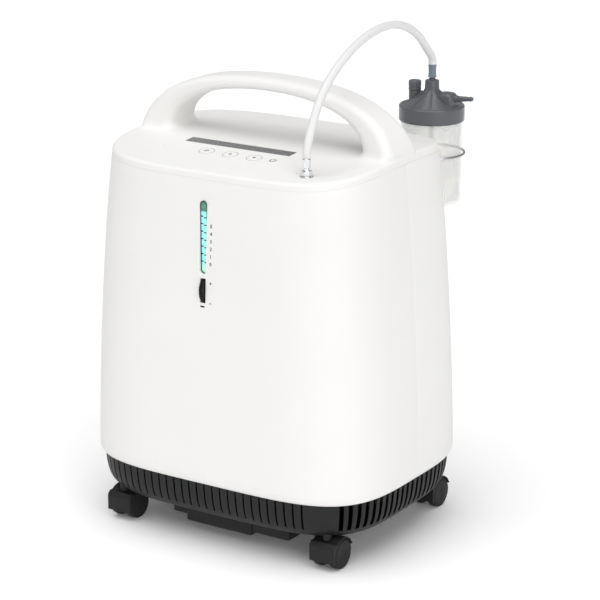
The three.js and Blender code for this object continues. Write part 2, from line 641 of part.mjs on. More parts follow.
function compressorBody() {
  const { y, z, motorRadius, motorLength, caseLength, plate } = COMPRESSOR;
  const parts = [
    rod('x', motorRadius, motorLength, [0, y, z], 24),
    block([-86, y - 46, plate], [86, y + 46, plate + 4]),
    block([-40, y - 20, plate], [40, y + 20, z]),
  ];
  for (const side of [-1, 1]) {
    const x = side * (motorLength / 2 + caseLength / 2 - 1);
    parts.push(rod('x', 38, caseLength, [x, y, z], 24));
    parts.push(rod('z', 24, 60, [x, y, z + 38]));
  }
  return join(...parts);
}
add('compressor_body', compressorBody(), LOOKS.aluminium);

for (const [hand, side] of [['left', -1], ['right', 1]]) {
  const { y, z, motorLength, caseLength } = COMPRESSOR;
  const x = side * (motorLength / 2 + caseLength / 2 - 1);
  const base = z + 68 + GAP;
  const fins = [block([x - 26, y - 26, base], [x + 26, y + 26, base + 8])];
  for (let i = 0; i < 5; i += 1) {
    const finX = x - 22 + i * 11;
    fins.push(block([finX - 1.5, y - 26, base + 4], [finX + 1.5, y + 26, base + 20]));
  }
  add(`cylinder_head_${hand}`, join(...fins), LOOKS.aluminium);
}

// ---- cooling fan above the compressor
function fanFrame() {
  const { y, bottom, height, side, bore } = FAN;
  const top = bottom + height;
  const frame = cut(
    block([-side / 2, y - side / 2, bottom], [side / 2, y + side / 2, top]),
    rod('z', bore, height * 3, [0, y, bottom + height / 2], 32));
  const spokes = [
    block([-bore - 2, y - 3, bottom], [bore + 2, y + 3, bottom + 4]),
    block([-3, y - bore - 2, bottom], [3, y + bore + 2, bottom + 4]),
    rod('z', 20, 4, [0, y, bottom + 2], 24),
  ];
  return join(frame, ...spokes);
}
add('fan_frame', fanFrame(), LOOKS.black);

function fanRotor() {
  const { y, bottom, height, bore, blades } = FAN;
  const middle = bottom + height / 2 + 2;
  const parts = [rod('z', 22, 24, [0, y, middle], 20)];
  for (let i = 0; i < blades; i += 1) {
    parts.push(toSolid(new THREE.BoxGeometry(bore - 23, 34, 2)
      .rotateX(0.55).translate((bore - 3 + 20) / 2, 0, 0)
      .rotateZ((i / blades) * 2 * Math.PI).translate(0, y, middle)));
  }
  return join(...parts);
}
add('fan_rotor', fanRotor(), LOOKS.glossBlack);

// ---- sieve beds, product tank, valve manifold and control board
const column = ({ radius, bottom, top }, x, y) => turned([
  [0, bottom], [radius - 4, bottom], [radius, bottom + 4], [radius, top - 4], [radius - 4, top], [0, top],
], [x, y]);
add('sieve_bed_left', column(BEDS, -BEDS.x, BEDS.y), LOOKS.aluminium);
add('sieve_bed_right', column(BEDS, BEDS.x, BEDS.y), LOOKS.aluminium);
add('oxygen_tank', column(TANK, TANK.x, TANK.y), LOOKS.aluminium);

function valveManifold() {
  const base = BEDS.top + GAP;
  const bar = block([-BEDS.x - 16, BEDS.y - 14, base], [BEDS.x + 16, BEDS.y + 22, base + 16]);
  const valves = [-66, -22, 22, 66].map((x) => rod('z', 11, 24, [x, BEDS.y + 6, base + 26], 12));
  return join(bar, ...valves);
}
add('valve_manifold', valveManifold(), LOOKS.aluminium);
add('control_board', block([-100, -96, 446], [74, -30, 448]), LOOKS.board);

// ---- stand the middle of the box on the origin; the hose isn't counted
const frontmost = -CASING.halfDepth;
const rearmost = BOTTLE.y + RING.radius + RING.wire;
concentrator.position.y = -(frontmost + rearmost) / 2;

export default concentrator;
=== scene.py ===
"""Oxygen concentrator on casters: the looks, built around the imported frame.

Lengths are in millimetres and are turned into metres where a mesh is made. Plan positions are measured
from the casing's own axis, which the frame's shells give.
"""
from math import copysign, cos, hypot, pi, radians, sin, sqrt, tan
from types import SimpleNamespace as Sizes

import bmesh
import bpy
import numpy as np
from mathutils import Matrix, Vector


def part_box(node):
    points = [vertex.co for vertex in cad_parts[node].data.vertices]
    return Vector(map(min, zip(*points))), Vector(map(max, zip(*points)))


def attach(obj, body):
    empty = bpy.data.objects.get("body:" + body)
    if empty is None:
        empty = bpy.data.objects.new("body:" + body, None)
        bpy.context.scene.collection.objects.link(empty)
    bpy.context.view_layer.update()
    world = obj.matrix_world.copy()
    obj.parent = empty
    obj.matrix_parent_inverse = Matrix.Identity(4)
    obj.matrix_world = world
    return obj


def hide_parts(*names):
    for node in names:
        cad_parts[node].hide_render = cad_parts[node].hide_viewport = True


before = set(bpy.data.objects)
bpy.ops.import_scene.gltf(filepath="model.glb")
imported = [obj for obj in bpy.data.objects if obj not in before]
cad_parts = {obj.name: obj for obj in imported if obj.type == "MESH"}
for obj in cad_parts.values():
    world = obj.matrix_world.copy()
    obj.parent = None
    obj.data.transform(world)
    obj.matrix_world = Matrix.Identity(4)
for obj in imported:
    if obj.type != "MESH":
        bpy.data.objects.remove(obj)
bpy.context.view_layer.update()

MM = 0.001


def node_box(name):
    """Lowest and highest corner of a CAD node, in millimetres."""
    low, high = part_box(name)
    return np.array(low) / MM, np.array(high) / MM


AXIS_Y = (node_box("front_shell")[0][1] + node_box("rear_shell")[1][1]) / 2    # the casing's axis


def place(x, y, z):
    """A point measured from the casing's axis, in the frame's metres."""
    return Vector((x * MM, (y + AXIS_Y) * MM, z * MM))


def toward(azimuth, elevation):
    """The direction of something seen from the object; azimuth 0 is straight ahead of its front."""
    turn, rise = radians(azimuth), radians(elevation)
    return Vector((sin(turn) * cos(rise), -cos(turn) * cos(rise), sin(rise)))


def add_object(name, data):
    obj = bpy.data.objects.new(name, data)
    bpy.context.scene.collection.objects.link(obj)
    return obj


# ---------------------------------------------------------------- camera
CAMERA = Sizes(azimuth=32.7, elevation=17.0, distance=2868.0, target=(24.2, 15.6, 273.0), lens=143.2)


def make_camera():
    back = toward(CAMERA.azimuth, CAMERA.elevation)
    data = bpy.data.cameras.new("camera")
    data.lens = CAMERA.lens
    data.sensor_width = 36.0
    data.clip_end = 50.0
    camera = add_object("camera", data)
    camera.location = place(*CAMERA.target) + back * CAMERA.distance * MM
    camera.rotation_euler = back.to_track_quat("Z", "Y").to_euler()
    bpy.context.scene.camera = camera


make_camera()


# ---------------------------------------------------------------- materials
def shade(colour, factor):
    return tuple(min(1.0, channel * factor) for channel in colour) + (1.0,)


def set_inputs(node, **values):
    """Sets a node's inputs; an underscore stands for a space in their names."""
    for name, value in values.items():
        node.inputs[name.replace("_", " ")].default_value = value


class Tree:
    """A node tree with the building blocks that the looks and the surroundings share."""

    def __init__(self, tree):
        self.nodes = tree.nodes
        self.links = tree.links

    def add(self, kind, **values):
        node = self.nodes.new("ShaderNode" + kind)
        set_inputs(node, **values)
        return node

    def noise(self, scale, detail=2.0, stretch=(1.0, 1.0, 1.0)):
        mapping = self.add("Mapping", Scale=stretch)
        noise = self.add("TexNoise", Scale=scale, Detail=detail)
        self.links.new(self.add("TexCoord").outputs["Object"], mapping.inputs["Vector"])
        self.links.new(mapping.outputs["Vector"], noise.inputs["Vector"])
        return noise.outputs["Fac"]

    def along(self, axis, low, high, start=0.0, stop=1.0, space="Object", kind="LINEAR"):
        """From start to stop along an axis of a space, between two places in it."""
        split = self.add("SeparateXYZ")
        span = self.add("MapRange", From_Min=low, From_Max=high, To_Min=start, To_Max=stop)
        span.interpolation_type = kind
        self.links.new(self.add("TexCoord").outputs[space], split.inputs["Vector"])
        self.links.new(split.outputs[axis], span.inputs["Value"])
        return span.outputs["Result"]


class Look(Tree):
    """A Principled material. Its textures are in object space, so they stay put as a piece moves."""

    def __init__(self, name, **values):
        self.material = bpy.data.materials.new(name)
        self.material.use_nodes = True
        super().__init__(self.material.node_tree)
        self.shader = self.nodes["Principled BSDF"]
        set_inputs(self.shader, **values)

    def feed(self, source, *sockets):
        for socket in sockets:
            self.links.new(source, self.shader.inputs[socket])

    def ramp(self, source, stops):
        """A colour ramp through (position, colour) stops."""
        ramp = self.add("ValToRGB")
        elements = ramp.color_ramp.elements
        elements[0].position = stops[0][0]
        elements[1].position = stops[-1][0]
        for position, _ in stops[1:-1]:
            elements.new(position)
        for element, (_, colour) in zip(elements, stops):
            element.color = colour
        self.links.new(source, ramp.inputs["Fac"])
        return ramp.outputs["Color"]

    def vary(self, socket, colour, low, high, source, start=0.35, stop=0.65):
        """A colour, or a grey for a plain number, that drifts between two shares of itself."""
        self.feed(self.ramp(source, ((start, shade(colour, low)), (stop, shade(colour, high)))), socket)

    def relief(self, source, strength, distance):
        bump = self.add("Bump", Strength=strength, Distance=distance)
        self.links.new(source, bump.inputs["Height"])
        self.feed(bump.outputs["Normal"], "Normal")


def moulded(name, colour, roughness, grain=900.0, bump=0.06, variation=0.03, specular=0.5, subsurface=0.0):
    """Moulded plastic or rubber: faint colour drift, uneven gloss and a fine grain."""
    look = Look(name, Specular_IOR_Level=specular, Subsurface_Weight=subsurface)
    if subsurface:
        set_inputs(look.shader, Subsurface_Radius=(0.004, 0.004, 0.004))
    look.vary("Base Color", colour, 1 - variation, 1 + variation, look.noise(14.0))
    look.vary("Roughness", (roughness,) * 3, 0.9, 1.12, look.noise(60.0, 3.0))
    look.relief(look.noise(grain), bump, 0.0003)
    return look.material


def metal(name, colour, roughness, stretch=(1.0, 1.0, 1.0), bump=0.05):
    """Bare or plated metal with fine lines along its working direction."""
    look = Look(name, Metallic=1.0)
    lines = look.noise(500.0, 4.0, stretch)
    look.vary("Roughness", (roughness,) * 3, 0.75, 1.3, lines, 0.3, 0.7)
    look.vary("Base Color", colour, 0.93, 1.05, look.noise(30.0))
    look.relief(lines, bump, 0.0002)
    return look.material


def milky(name, colour, cover, roughness):
    """Thin translucent plastic: each wall hides a share of what lies behind it."""
    look = Look(name, Alpha=cover, Specular_IOR_Level=0.35)
    look.vary("Base Color", colour, 0.94, 1.05, look.noise(18.0))
    look.vary("Roughness", (roughness,) * 3, 0.9, 1.1, look.noise(60.0, 3.0))
    return look.material


# Stops of the flow tube's colour, also used for its painted glow.
TUBE_COLOUR_AND_GLOW_STOPS = (
    (0.0, (0.5, 0.85, 0.7)), (0.09, (0.5, 0.9, 0.76)), (0.14, (0.3, 0.84, 0.8)),
    (0.5, (0.34, 0.88, 0.86)), (0.845, (0.3, 0.84, 0.84)), (0.865, (0.06, 0.2, 0.15)),
    (0.93, (0.09, 0.27, 0.2)), (1.0, (0.05, 0.15, 0.11)),
)


def lit_tube():
    """Flow tube coloured pale green at the foot and cyan up to the dark green cap; the same colours fed to
    emission are a painted glow.
    """
    look = Look("lit_tube", Emission_Strength=0.2, Roughness=0.25)
    stops = [(position, shade(colour, 1)) for position, colour in TUBE_COLOUR_AND_GLOW_STOPS]
    tint = look.ramp(look.along("Z", 0.3416, 0.427), stops)
    # The colours also feed emission, which paints a faint glow on the tube.
    look.feed(tint, "Base Color", "Emission Color")
    look.relief(look.noise(260.0), 0.05, 0.0003)
    return look.material


def smoked_window():
    """Display window: smoked grey that darkens a little towards its right end; the change along it is a
    painted reflection.
    """
    look = Look("smoked_window", Specular_IOR_Level=0.35)
    # Lighter left end, darker right end: painted reflection.
    ends = ((0.0, (0.165, 0.168, 0.17, 1.0)), (1.0, (0.15, 0.152, 0.154, 1.0)))
    look.feed(look.ramp(look.along("X", -0.088, 0.058), ends), "Base Color")
    look.vary("Roughness", (0.25,) * 3, 0.8, 1.2, look.noise(700.0))
    return look.material


M = {
    "white": moulded("white_abs", (0.83, 0.824, 0.812), 0.54, bump=0.05, variation=0.006, specular=0.34),
    "print": moulded("grey_print", (0.05, 0.052, 0.055), 0.5, variation=0.02),
    "print_light": moulded("light_grey_print", (0.3, 0.31, 0.32), 0.5, variation=0.02),
    "print_black": moulded("black_print", (0.006, 0.006, 0.007), 0.5, variation=0.02),
    "black": moulded("black_abs", (0.0158, 0.0161, 0.0171), 0.45, bump=0.12, variation=0.08, specular=0.2),
    "gloss_black": moulded(
        "gloss_black", (0.005, 0.005, 0.0052), 0.3, bump=0.03, variation=0.05, specular=0.22),
    "tyre": moulded("caster_tyre", (0.019, 0.0192, 0.0203), 0.55, bump=0.15, variation=0.1, specular=0.18),
    "lid": moulded("lid_grey", (0.092, 0.097, 0.106), 0.22, bump=0.07, specular=0.45),
    "collar": moulded("collar_grey", (0.17, 0.205, 0.235), 0.4, subsurface=0.1),
    "hose": moulded(
        "silicone_hose", (0.76, 0.758, 0.762), 0.4, bump=0.02, variation=0.006, specular=0.35,
        subsurface=0.1),
    "rubber": moulded("isolator_rubber", (0.012, 0.012, 0.0125), 0.75, bump=0.2, variation=0.1),
    "foam": moulded("filter_foam", (0.03, 0.032, 0.036), 0.9, grain=260.0, bump=0.9, variation=0.25),
    "board": moulded("circuit_board", (0.012, 0.11, 0.05), 0.35, grain=300.0, bump=0.1, variation=0.15),
    "chrome": metal("chrome", (0.78, 0.79, 0.81), 0.12, bump=0.02),
    "steel": metal("plated_steel", (0.54, 0.55, 0.56), 0.26, (1, 1, 8)),
    "aluminium": metal("aluminium", (0.56, 0.57, 0.58), 0.4, (1, 1, 6), bump=0.1),
    "jar": milky("clear_jar", (0.84, 0.845, 0.815), 0.3, 0.22),
    "tube_clear": milky("clear_tube", (0.5, 0.51, 0.49), 0.16, 0.2),
    # Near-black matt sheet inside the skirt and its slots: painted shade.
    "shade_sheet": moulded("painted_shade_liner", (0.0015, 0.0015, 0.0016), 0.9, variation=0.1, specular=0.02),
    "floor": moulded("floor_paper", (0.98, 0.98, 0.98), 0.9, variation=0.002, bump=0.0, specular=0.0),
    # Flow tube material with a painted glow (emission).
    "lit_tube": lit_tube(),
    "display": smoked_window(),
}


# ---------------------------------------------------------------- mesh building
DOUBLED, THINNEST = 2e-6, 1e-6          # metres: points this near are joined, edges this short go


def turns(count):
    """Evenly spaced angles, once round."""
    return [2 * pi * k / count for k in range(count)]


def quarter(steps):
    """Angles from 0 to a right angle."""
    return [pi / 2 * k / steps for k in range(steps + 1)]


def corner_curve(start, corner, stop, steps):
    """A smooth curve that cuts a corner."""
    spots = []
    for k in range(steps + 1):
        t = k / steps
        spots.append((1 - t) ** 2 * start + 2 * t * (1 - t) * corner + t * t * stop)
    return spots


def fillet(outline, radius, steps=5, closed=True):
    """An outline with its corners rounded. A corner may carry its own radius as a third number."""
    count = len(outline)
    rounded = []
    for i, corner in enumerate(outline):
        here = Vector(corner[:2])
        reach = corner[2] if len(corner) > 2 else radius
        if reach <= 0 or (not closed and i in (0, count - 1)):
            rounded.append(tuple(here))
            continue
        before = Vector(outline[i - 1][:2]) - here
        after = Vector(outline[(i + 1) % count][:2]) - here
        setback = min(reach / tan(before.angle(after) / 2), 0.49 * before.length, 0.49 * after.length)
        curve = corner_curve(
            here + before.normalized() * setback, here, here + after.normalized() * setback, steps)
        rounded.extend(tuple(spot) for spot in curve)
    return rounded


def inset_outline(outline, distance):
    """The outline moved inwards by a distance."""
    if not distance:
        return outline
    count = len(outline)
    area = sum(a[0] * b[1] - b[0] * a[1] for a, b in zip(outline[-1:] + outline, outline))
    turn = 1 if area > 0 else -1
    moved = []
    for i in range(count):
        along = (Vector(outline[(i + 1) % count]) - Vector(outline[i - 1])).normalized()
        moved.append(tuple(Vector(outline[i]) + Vector((-along.y, along.x)) * distance * turn))
    return moved


AXES = {"x": (2, 0, 1), "y": (0, 2, 1), "z": (0, 1, 2)}    # where u, v and height go in x, y, z


def on_axis(axis, u, v, height):
    values = (u, v, height)
    return tuple(values[k] for k in AXES[axis])


def clean(mesh, finish):
    """Joins the mesh's doubled points and applies one more operation to it."""
    work = bmesh.new()
    work.from_mesh(mesh)
    bmesh.ops.remove_doubles(work, verts=work.verts, dist=DOUBLED)
    finish(work)
    work.to_mesh(mesh)
    work.free()
    return mesh


def ring_row(reach, height, centre=(0, 0, 0), axis="z", steps=64):
    """Points round an axis. reach is their distance from it, or a function that gives it for an angle."""
    row = []
    for angle in turns(steps):
        radius = reach(angle) if callable(reach) else reach
        spot = on_axis(axis, radius * cos(angle), radius * sin(angle), height)
        row.append(tuple(a + b for a, b in zip(spot, centre)))
    return row


class Form:
    """Points and faces in millimetres, gathered for one piece."""

    def __init__(self, *parts):
        self.points = []
        self.faces = []
        for part in parts:
            self.add(part.points, part.faces)

    def add(self, points, faces):
        start = len(self.points)
        self.points.extend(tuple(p) for p in points)
        self.faces.extend(tuple(start + k for k in face) for face in faces)
        return self

    def skin(self, rows, ring=True, loop=False, caps=(False, False)):
        """Quads between rows of points. ring closes each row, loop joins the last row to the first."""
        count = len(rows[0])
        faces = []
        for r in range(len(rows) if loop else len(rows) - 1):
            here = r * count
            there = ((r + 1) % len(rows)) * count
            for c in range(count if ring else count - 1):
                d = (c + 1) % count
                faces.append((here + c, here + d, there + d, there + c))
        for row, cap in zip((0, len(rows) - 1), caps):
            if cap:
                faces.append(tuple(range(row * count, (row + 1) * count)))
        return self.add([p for row in rows for p in row], faces)

    def solid(self, rows):
        return self.skin(rows, caps=(True, True))

    def turn(self, profile, centre=(0, 0, 0), axis="z", steps=64, hollow=False):
        """A turned solid: (radius, height) pairs along the axis, which close a loop if it's hollow."""
        rows = [ring_row(radius, height, centre, axis, steps) for radius, height in profile]
        if hollow:
            return self.skin(rows, loop=True)
        return self.skin(rows, caps=(profile[0][0] > 0, profile[-1][0] > 0))

    def rod(self, radius, low, high, centre=(0, 0, 0), axis="z", steps=64):
        return self.turn([(radius, low), (radius, high)], centre, axis, steps)

    def prism(self, outline, low, high, bevel=0.0, axis="z", steps=3):
        """An outline pulled along an axis, with its end edges rounded."""
        rings = [(0.0, low), (0.0, high)]
        if bevel:
            rings = [(bevel * (1 - sin(a)), low + bevel * (1 - cos(a))) for a in quarter(steps)]
            rings += [(bevel * (1 - cos(a)), high - bevel * (1 - sin(a))) for a in quarter(steps)]
        rows = []
        for inset, height in rings:
            flat = inset_outline(outline, inset if inset > 1e-6 else 0)
            rows.append([on_axis(axis, u, v, height) for u, v in flat])
        return self.solid(rows)

    def box(self, low, high, radius=0.0, bevel=0.0, axis="z"):
        """A box between two corners; radius rounds the edges along the axis, bevel the others."""
        spots = {k: (low[i], high[i]) for i, k in enumerate(AXES[axis])}
        (u0, u1), (v0, v1), (h0, h1) = spots[0], spots[1], spots[2]
        outline = [(u0, v0), (u1, v0), (u1, v1), (u0, v1)]
        if radius:
            outline = fillet(outline, radius)
        return self.prism(outline, h0, h1, bevel, axis)

    def tube(self, path, radii, steps=32):
        """A round bar along a path, with a radius for each point."""
        points = [Vector(p) for p in path]
        across = Vector((0.31, 0.17, 0.94))
        rows = []
        for i, here in enumerate(points):
            along = (points[min(i + 1, len(points) - 1)] - points[max(i - 1, 0)]).normalized()
            across = (across - along * across.dot(along)).normalized()
            other = along.cross(across)
            rows.append([tuple(here + (across * cos(a) + other * sin(a)) * radii[i]) for a in turns(steps)])
        return self.solid(rows)

    def mesh(self, name):
        mesh = bpy.data.meshes.new(name)
        mesh.from_pydata([place(*p) for p in self.points], [], self.faces)
        return clean(mesh, lambda work: bmesh.ops.recalc_face_normals(work, faces=work.faces))

    def piece(self, name, look, body="casing", replaces=None, sharp=35.0, cut=(), keep=None):
        """Makes the object, cut by other forms, or kept only inside one, and ties it to its body."""
        obj = add_object(name, self.mesh(name))
        if keep:
            boolean(obj, keep, "INTERSECT")
        for form in cut:
            boolean(obj, form, "DIFFERENCE")
        dress(obj, look, sharp)
        return ride(obj, body, replaces)


def dress(obj, look, sharp=35.0):
    """The object's material, and smooth shading except across edges sharper than an angle in degrees."""
    obj.data.materials.clear()
    obj.data.materials.append(M[look])
    obj.data.shade_smooth()
    obj.data.set_sharp_from_angle(angle=radians(sharp))


def ride(obj, body, replaces):
    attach(obj, body)
    if replaces:
        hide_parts(replaces)
    return obj


def boolean(obj, form, operation):
    """Cuts obj with a form and keeps the result as its mesh."""
    cutter = add_object("cutter", form.mesh("cutter"))
    modifier = obj.modifiers.new("cut", "BOOLEAN")
    modifier.operation = operation
    modifier.solver = "EXACT"
    modifier.object = cutter
    graph = bpy.context.evaluated_depsgraph_get()
    result = bpy.data.meshes.new_from_object(obj.evaluated_get(graph))
    obj.modifiers.clear()
    bpy.data.objects.remove(cutter)
    obj.data = clean(
        result, lambda work: bmesh.ops.dissolve_degenerate(work, edges=work.edges, dist=THINNEST))


# ---------------------------------------------------------------- the casing's form
HALF_WIDTH, HALF_DEPTH = 200.0, 154.5            # at its widest level
TOP_HALF_WIDTH, TOP_HALF_DEPTH = 176.5, 141.0    # at the rim
POWER_X, POWER_Y = 4.3, 3.75                     # how square the plan is
WIDEST = 97.0
CROWN_START = 380.0                              # above this the levels bend to follow the cover
SEAM = 464.5
RIM = 473.0
WALL = 3.0
ROLL, ROLL_START = 3.5, 469.3                    # the top cover's rolled edge
DIMPLE = Sizes(x=116.0, y=-78.0, rx=38.0, ry=48.0, depth=2.3)


def smooth(share):
    t = min(max(share, 0.0), 1.0)
    return t * t * (3 - 2 * t)


def draw_in(level):
    rise = min(max((level - WIDEST) / (RIM - WIDEST), 0.0), 1.0)
    return 0.35 * rise + 0.65 * rise * rise


def half_width(level):
    return HALF_WIDTH + (TOP_HALF_WIDTH - HALF_WIDTH) * draw_in(level)


def half_depth(level):
    return HALF_DEPTH + (TOP_HALF_DEPTH - HALF_DEPTH) * draw_in(level)


def crown(y):
    return 0.016 * y - 0.00055 * y * y


def spread(value, power):
    return copysign(abs(value) ** (2 / power), value) if abs(value) > 1e-9 else 0.0


def casing_point(angle, level, inset=0.0, share=1.0):
    x = share * (half_width(level) - inset) * spread(cos(angle), POWER_X)
    y = share * (half_depth(level) - inset) * spread(sin(angle), POWER_Y)
    return (x, y, level + crown(y) * smooth((level - CROWN_START) / (SEAM - CROWN_START)))


def even_angles(count):
    """Angles whose points are evenly spaced round the casing's plan."""
    fine = np.linspace(0, pi / 2, 6001)
    outline = np.array([casing_point(a, WIDEST)[:2] for a in fine])
    arc = np.concatenate([[0], np.cumsum(np.hypot(*np.diff(outline, axis=0).T))])
    first = np.interp(np.linspace(0, arc[-1], count // 4 + 1), arc, fine)
    half = np.concatenate([first[:-1], pi - first[:0:-1]])
    return np.concatenate([half, half + pi])


ROUND = even_angles(280)


def casing_rows(profile, angles=ROUND):
    """Rings round the casing, one for each (level, inset)."""
    return [[casing_point(angle, level, inset) for angle in angles] for level, inset in profile]


def front_face(z, x=0.0):
    return -half_depth(z) * (1 - (abs(x) / half_width(z)) ** POWER_X) ** (1 / POWER_Y)


def dimple(x, y):
    """How far the shallow hollow round the outlet sinks the top at a place."""
    r = hypot((x - DIMPLE.x) / DIMPLE.rx, (y - DIMPLE.y) / DIMPLE.ry)
    return DIMPLE.depth * smooth((1 - r) / 0.75)


def cover_height(x, y):
    """The top cover's surface at a place."""
    share = ((abs(x) / TOP_HALF_WIDTH) ** POWER_X + (abs(y) / TOP_HALF_DEPTH) ** POWER_Y) ** (1 / POWER_X)
    inset = TOP_HALF_WIDTH * (1 - share)
    level = RIM
    if inset < ROLL:
        bend = min((ROLL - inset) / ROLL, 1.0)
        level = ROLL_START + (RIM - ROLL_START) * sqrt(1 - bend * bend)
    return level + crown(y) - dimple(x, y)


def half_shell(side):
    """The front (-1) or rear (1) half of the white casing, with eased edges at the joint."""
    top = SEAM - 0.18
    profile = [(WIDEST - 12 * cos(a), 5 * (1 - sin(a))) for a in quarter(8)]
    profile += [(level, 0.0) for level in np.linspace(WIDEST, 464.1, 34)[1:]]
    profile += [(top - 0.06, 0.06), (top, 0.5)]
    profile += [(level, WALL) for level in np.linspace(top, WIDEST, 12)] + [(85.0, 5 + WALL)]
    ends = ((0.04, 0.2), (0.07, 0.04), (0.3, 0.0))

    def end_column(hand, gap, ease):
        return [(hand * (half_width(level) - inset - ease), side * gap, level) for level, inset in profile]

    angles = [a for a in ROUND if side * sin(a) > 0.01]
    rows = [end_column(side, *end) for end in ends]
    rows += [[casing_point(a, level, inset) for level, inset in profile] for a in angles]
    rows += [end_column(-side, *end) for end in reversed(ends)]
    return Form().solid(rows)


# ---------------------------------------------------------------- feed hose
HOSE_RADIUS = 4.9
HOSE_ROUTE = [
    (112.4, -108, 485), (112.4, -107.6, 492), (112.2, -104.4, 502), (111.9, -97.2, 517),
    (111.5, -82.5, 541), (111, -66.5, 558), (110.4, -46, 572.5), (109.8, -22, 585), (109.1, 6, 595.5),
    (108.3, 34, 602), (107.5, 64, 605), (106.6, 96, 603), (105.9, 124, 595), (105.1, 152, 580),
    (104.4, 172.5, 562), (104, 186, 549.5), (104, 188, 544.5), (104, 188, 540.3),
]


def between(a, b, start, stop, t):
    return ((stop - t) * a + (t - start) * b) / (stop - start)


def route_points(route, per_span=8):
    """A smooth centripetal curve through the route."""
    points = [np.array(p, float) for p in route]
    points = [2 * points[0] - points[1]] + points + [2 * points[-1] - points[-2]]
    line = []
    for i in range(len(points) - 3):
        p0, p1, p2, p3 = points[i:i + 4]
        t1 = np.linalg.norm(p1 - p0) ** 0.5
        t2 = t1 + np.linalg.norm(p2 - p1) ** 0.5
        t3 = t2 + np.linalg.norm(p3 - p2) ** 0.5
        for t in np.linspace(t1, t2, per_span, endpoint=False):
            first = between(p0, p1, 0.0, t1, t)
            second = between(p1, p2, t1, t2, t)
            third = between(p2, p3, t2, t3, t)
            low = between(first, second, 0.0, t2, t)
            high = between(second, third, t1, t3, t)
            line.append(between(low, high, t1, t2, t))
    line.append(points[-2])
    return line


def make_hose():
    line = route_points(HOSE_ROUTE)
    curve = bpy.data.curves.new("feed_hose_tube", "CURVE")
    curve.dimensions = "3D"
    curve.bevel_depth = HOSE_RADIUS * MM
    curve.bevel_resolution = 6
    curve.use_fill_caps = True
    spline = curve.splines.new("POLY")
    spline.points.add(len(line) - 1)
    for point, spot in zip(spline.points, line):
        point.co = (*place(*spot), 1.0)
    spline.use_smooth = True
    curve.materials.append(M["hose"])
    hose = ride(add_object("feed_hose_tube", curve), "casing", "feed_hose")
    return hose, sum(float(np.linalg.norm(b - a)) for a, b in zip(line, line[1:]))


def make_collar():
    """The soft blue-grey connector that joins the hose to the bottle's nozzle."""
    bottom, height, radius, inner = 524.5, 15.5, 5.0, 3.3
    waist = radius - 0.35
    profile = fillet([
        (inner, 0), (radius, 0), (radius, 2.5), (waist, 3.1), (waist, height - 3.1), (radius, height - 2.5),
        (radius, height), (inner, height - 0.4), (inner, height - 1.5), (inner, 7),
    ], 0.35, 3)
    return Form().turn(profile, (*HOSE_ROUTE[-1][:2], bottom), steps=48, hollow=True).piece(
        "hose_connector", "collar", replaces="hose_collar")


feed_hose, hose_length = make_hose()
hose_connector = make_collar()


# ---------------------------------------------------------------- sizes on the front, top and rear
TUBE = Sizes(x=-3.5, width=8.6, bottom=341.6, top=427.0, front=-144.0, back=-130.0)
TUBE_AXIS = (TUBE.x, (TUBE.front + TUBE.back) / 2, 0)
KNOB = Sizes(x=-2.8, z=321.4, radius=20.0, width=6.0)
KNOB_CENTRE = (KNOB.x, front_face(KNOB.z) + 14.9, KNOB.z)    # it stands 5.1 out of the front
DISPLAY = Sizes(x=-15.0, y=-51.5, length=146.0, depth=17.0)
BUTTON_Y = -81.5
SCALE_STEP = 8.86                       # between two marks of the flow scale
BUTTONS = {                             # x and radius
    "button_alarm": (-42.0, 8.5), "button_down": (-9.0, 8.5), "button_up": (24.0, 8.5),
    "power_button": (50.0, 6.5),
}
OUTLET_AXIS = (112.4, -108.0, 0)
OUTLET_SEAT = RIM + crown(-108.0) - 2.6
DOOR = Sizes(x=-52.0, z=322.0, width=96.0, height=150.0)
INLET = Sizes(x=60.0, z=132.0, width=48.0, height=28.0, depth=26.0)
BREAKER = Sizes(x=104.0, z=132.0, radius=5.0)


# ---------------------------------------------------------------- white shells
THROUGH_REAR = (100, 200)               # from y to y, for cuts through the rear wall
THROUGH_TOP = (440, 490)                # from z to z, for cuts through the cover


def capsule(grow):
    """The flow tube's outline: an upright slot with round ends, grown by a distance."""
    half = TUBE.width / 2 + grow
    outline = []
    for centre, start in ((TUBE.top + grow - half, 0.0), (TUBE.bottom - grow + half, pi)):
        for k in range(11):
            angle = start + pi * k / 10
            outline.append((TUBE.x + half * cos(angle), centre + half * sin(angle)))
    return outline


def rear_block(part, width, height, radius, grow=0.0):
    """A block through the rear wall round a part's middle."""
    half_x, half_z = width / 2 + grow, height / 2 + grow
    front, back = THROUGH_REAR
    return Form().box(
        (part.x - half_x, front, part.z - half_z), (part.x + half_x, back, part.z + half_z), radius, axis="y")


def make_shells():
    """The two white halves, with their openings for the flowmeter, the door and the sockets."""
    slot = Form().prism(capsule(0.3), -170, TUBE.back, axis="y")
    reach, half = KNOB.radius + 0.8, KNOB.width / 2 + 0.8
    wheel_room = Form().rod(reach, -half, half, KNOB_CENTRE, "x", 72)
    half_shell(-1).piece("front_casing", "white", replaces="front_shell", cut=(slot, wheel_room))
    door = rear_block(DOOR, DOOR.width, DOOR.height, 2.5, 0.6)
    inlet = rear_block(INLET, INLET.width, INLET.height, 2.0, 0.3)
    breaker = Form().rod(BREAKER.radius + 0.4, *THROUGH_REAR, (BREAKER.x, 0, BREAKER.z), "y", 40)
    half_shell(1).piece("rear_casing", "white", replaces="rear_shell", cut=(door, inlet, breaker))


def make_filter_door():
    """The louvred panel of the rear wall, with a finger recess on its free edge."""
    louvres = [rear_block(Sizes(x=DOOR.x, z=DOOR.z + 14 * k), 72, 5, 2.4) for k in range(-4, 5)]
    grip = Form().turn([(0, -8), (8, -8), (8, 8), (0, 8)], (DOOR.x + 48.5, 158.5, DOOR.z), "z", 40)
    half_shell(1).piece(
        "filter_door_panel", "white", body="door", replaces="filter_door",
        keep=rear_block(DOOR, DOOR.width, DOOR.height, 2.5), cut=(*louvres, grip))


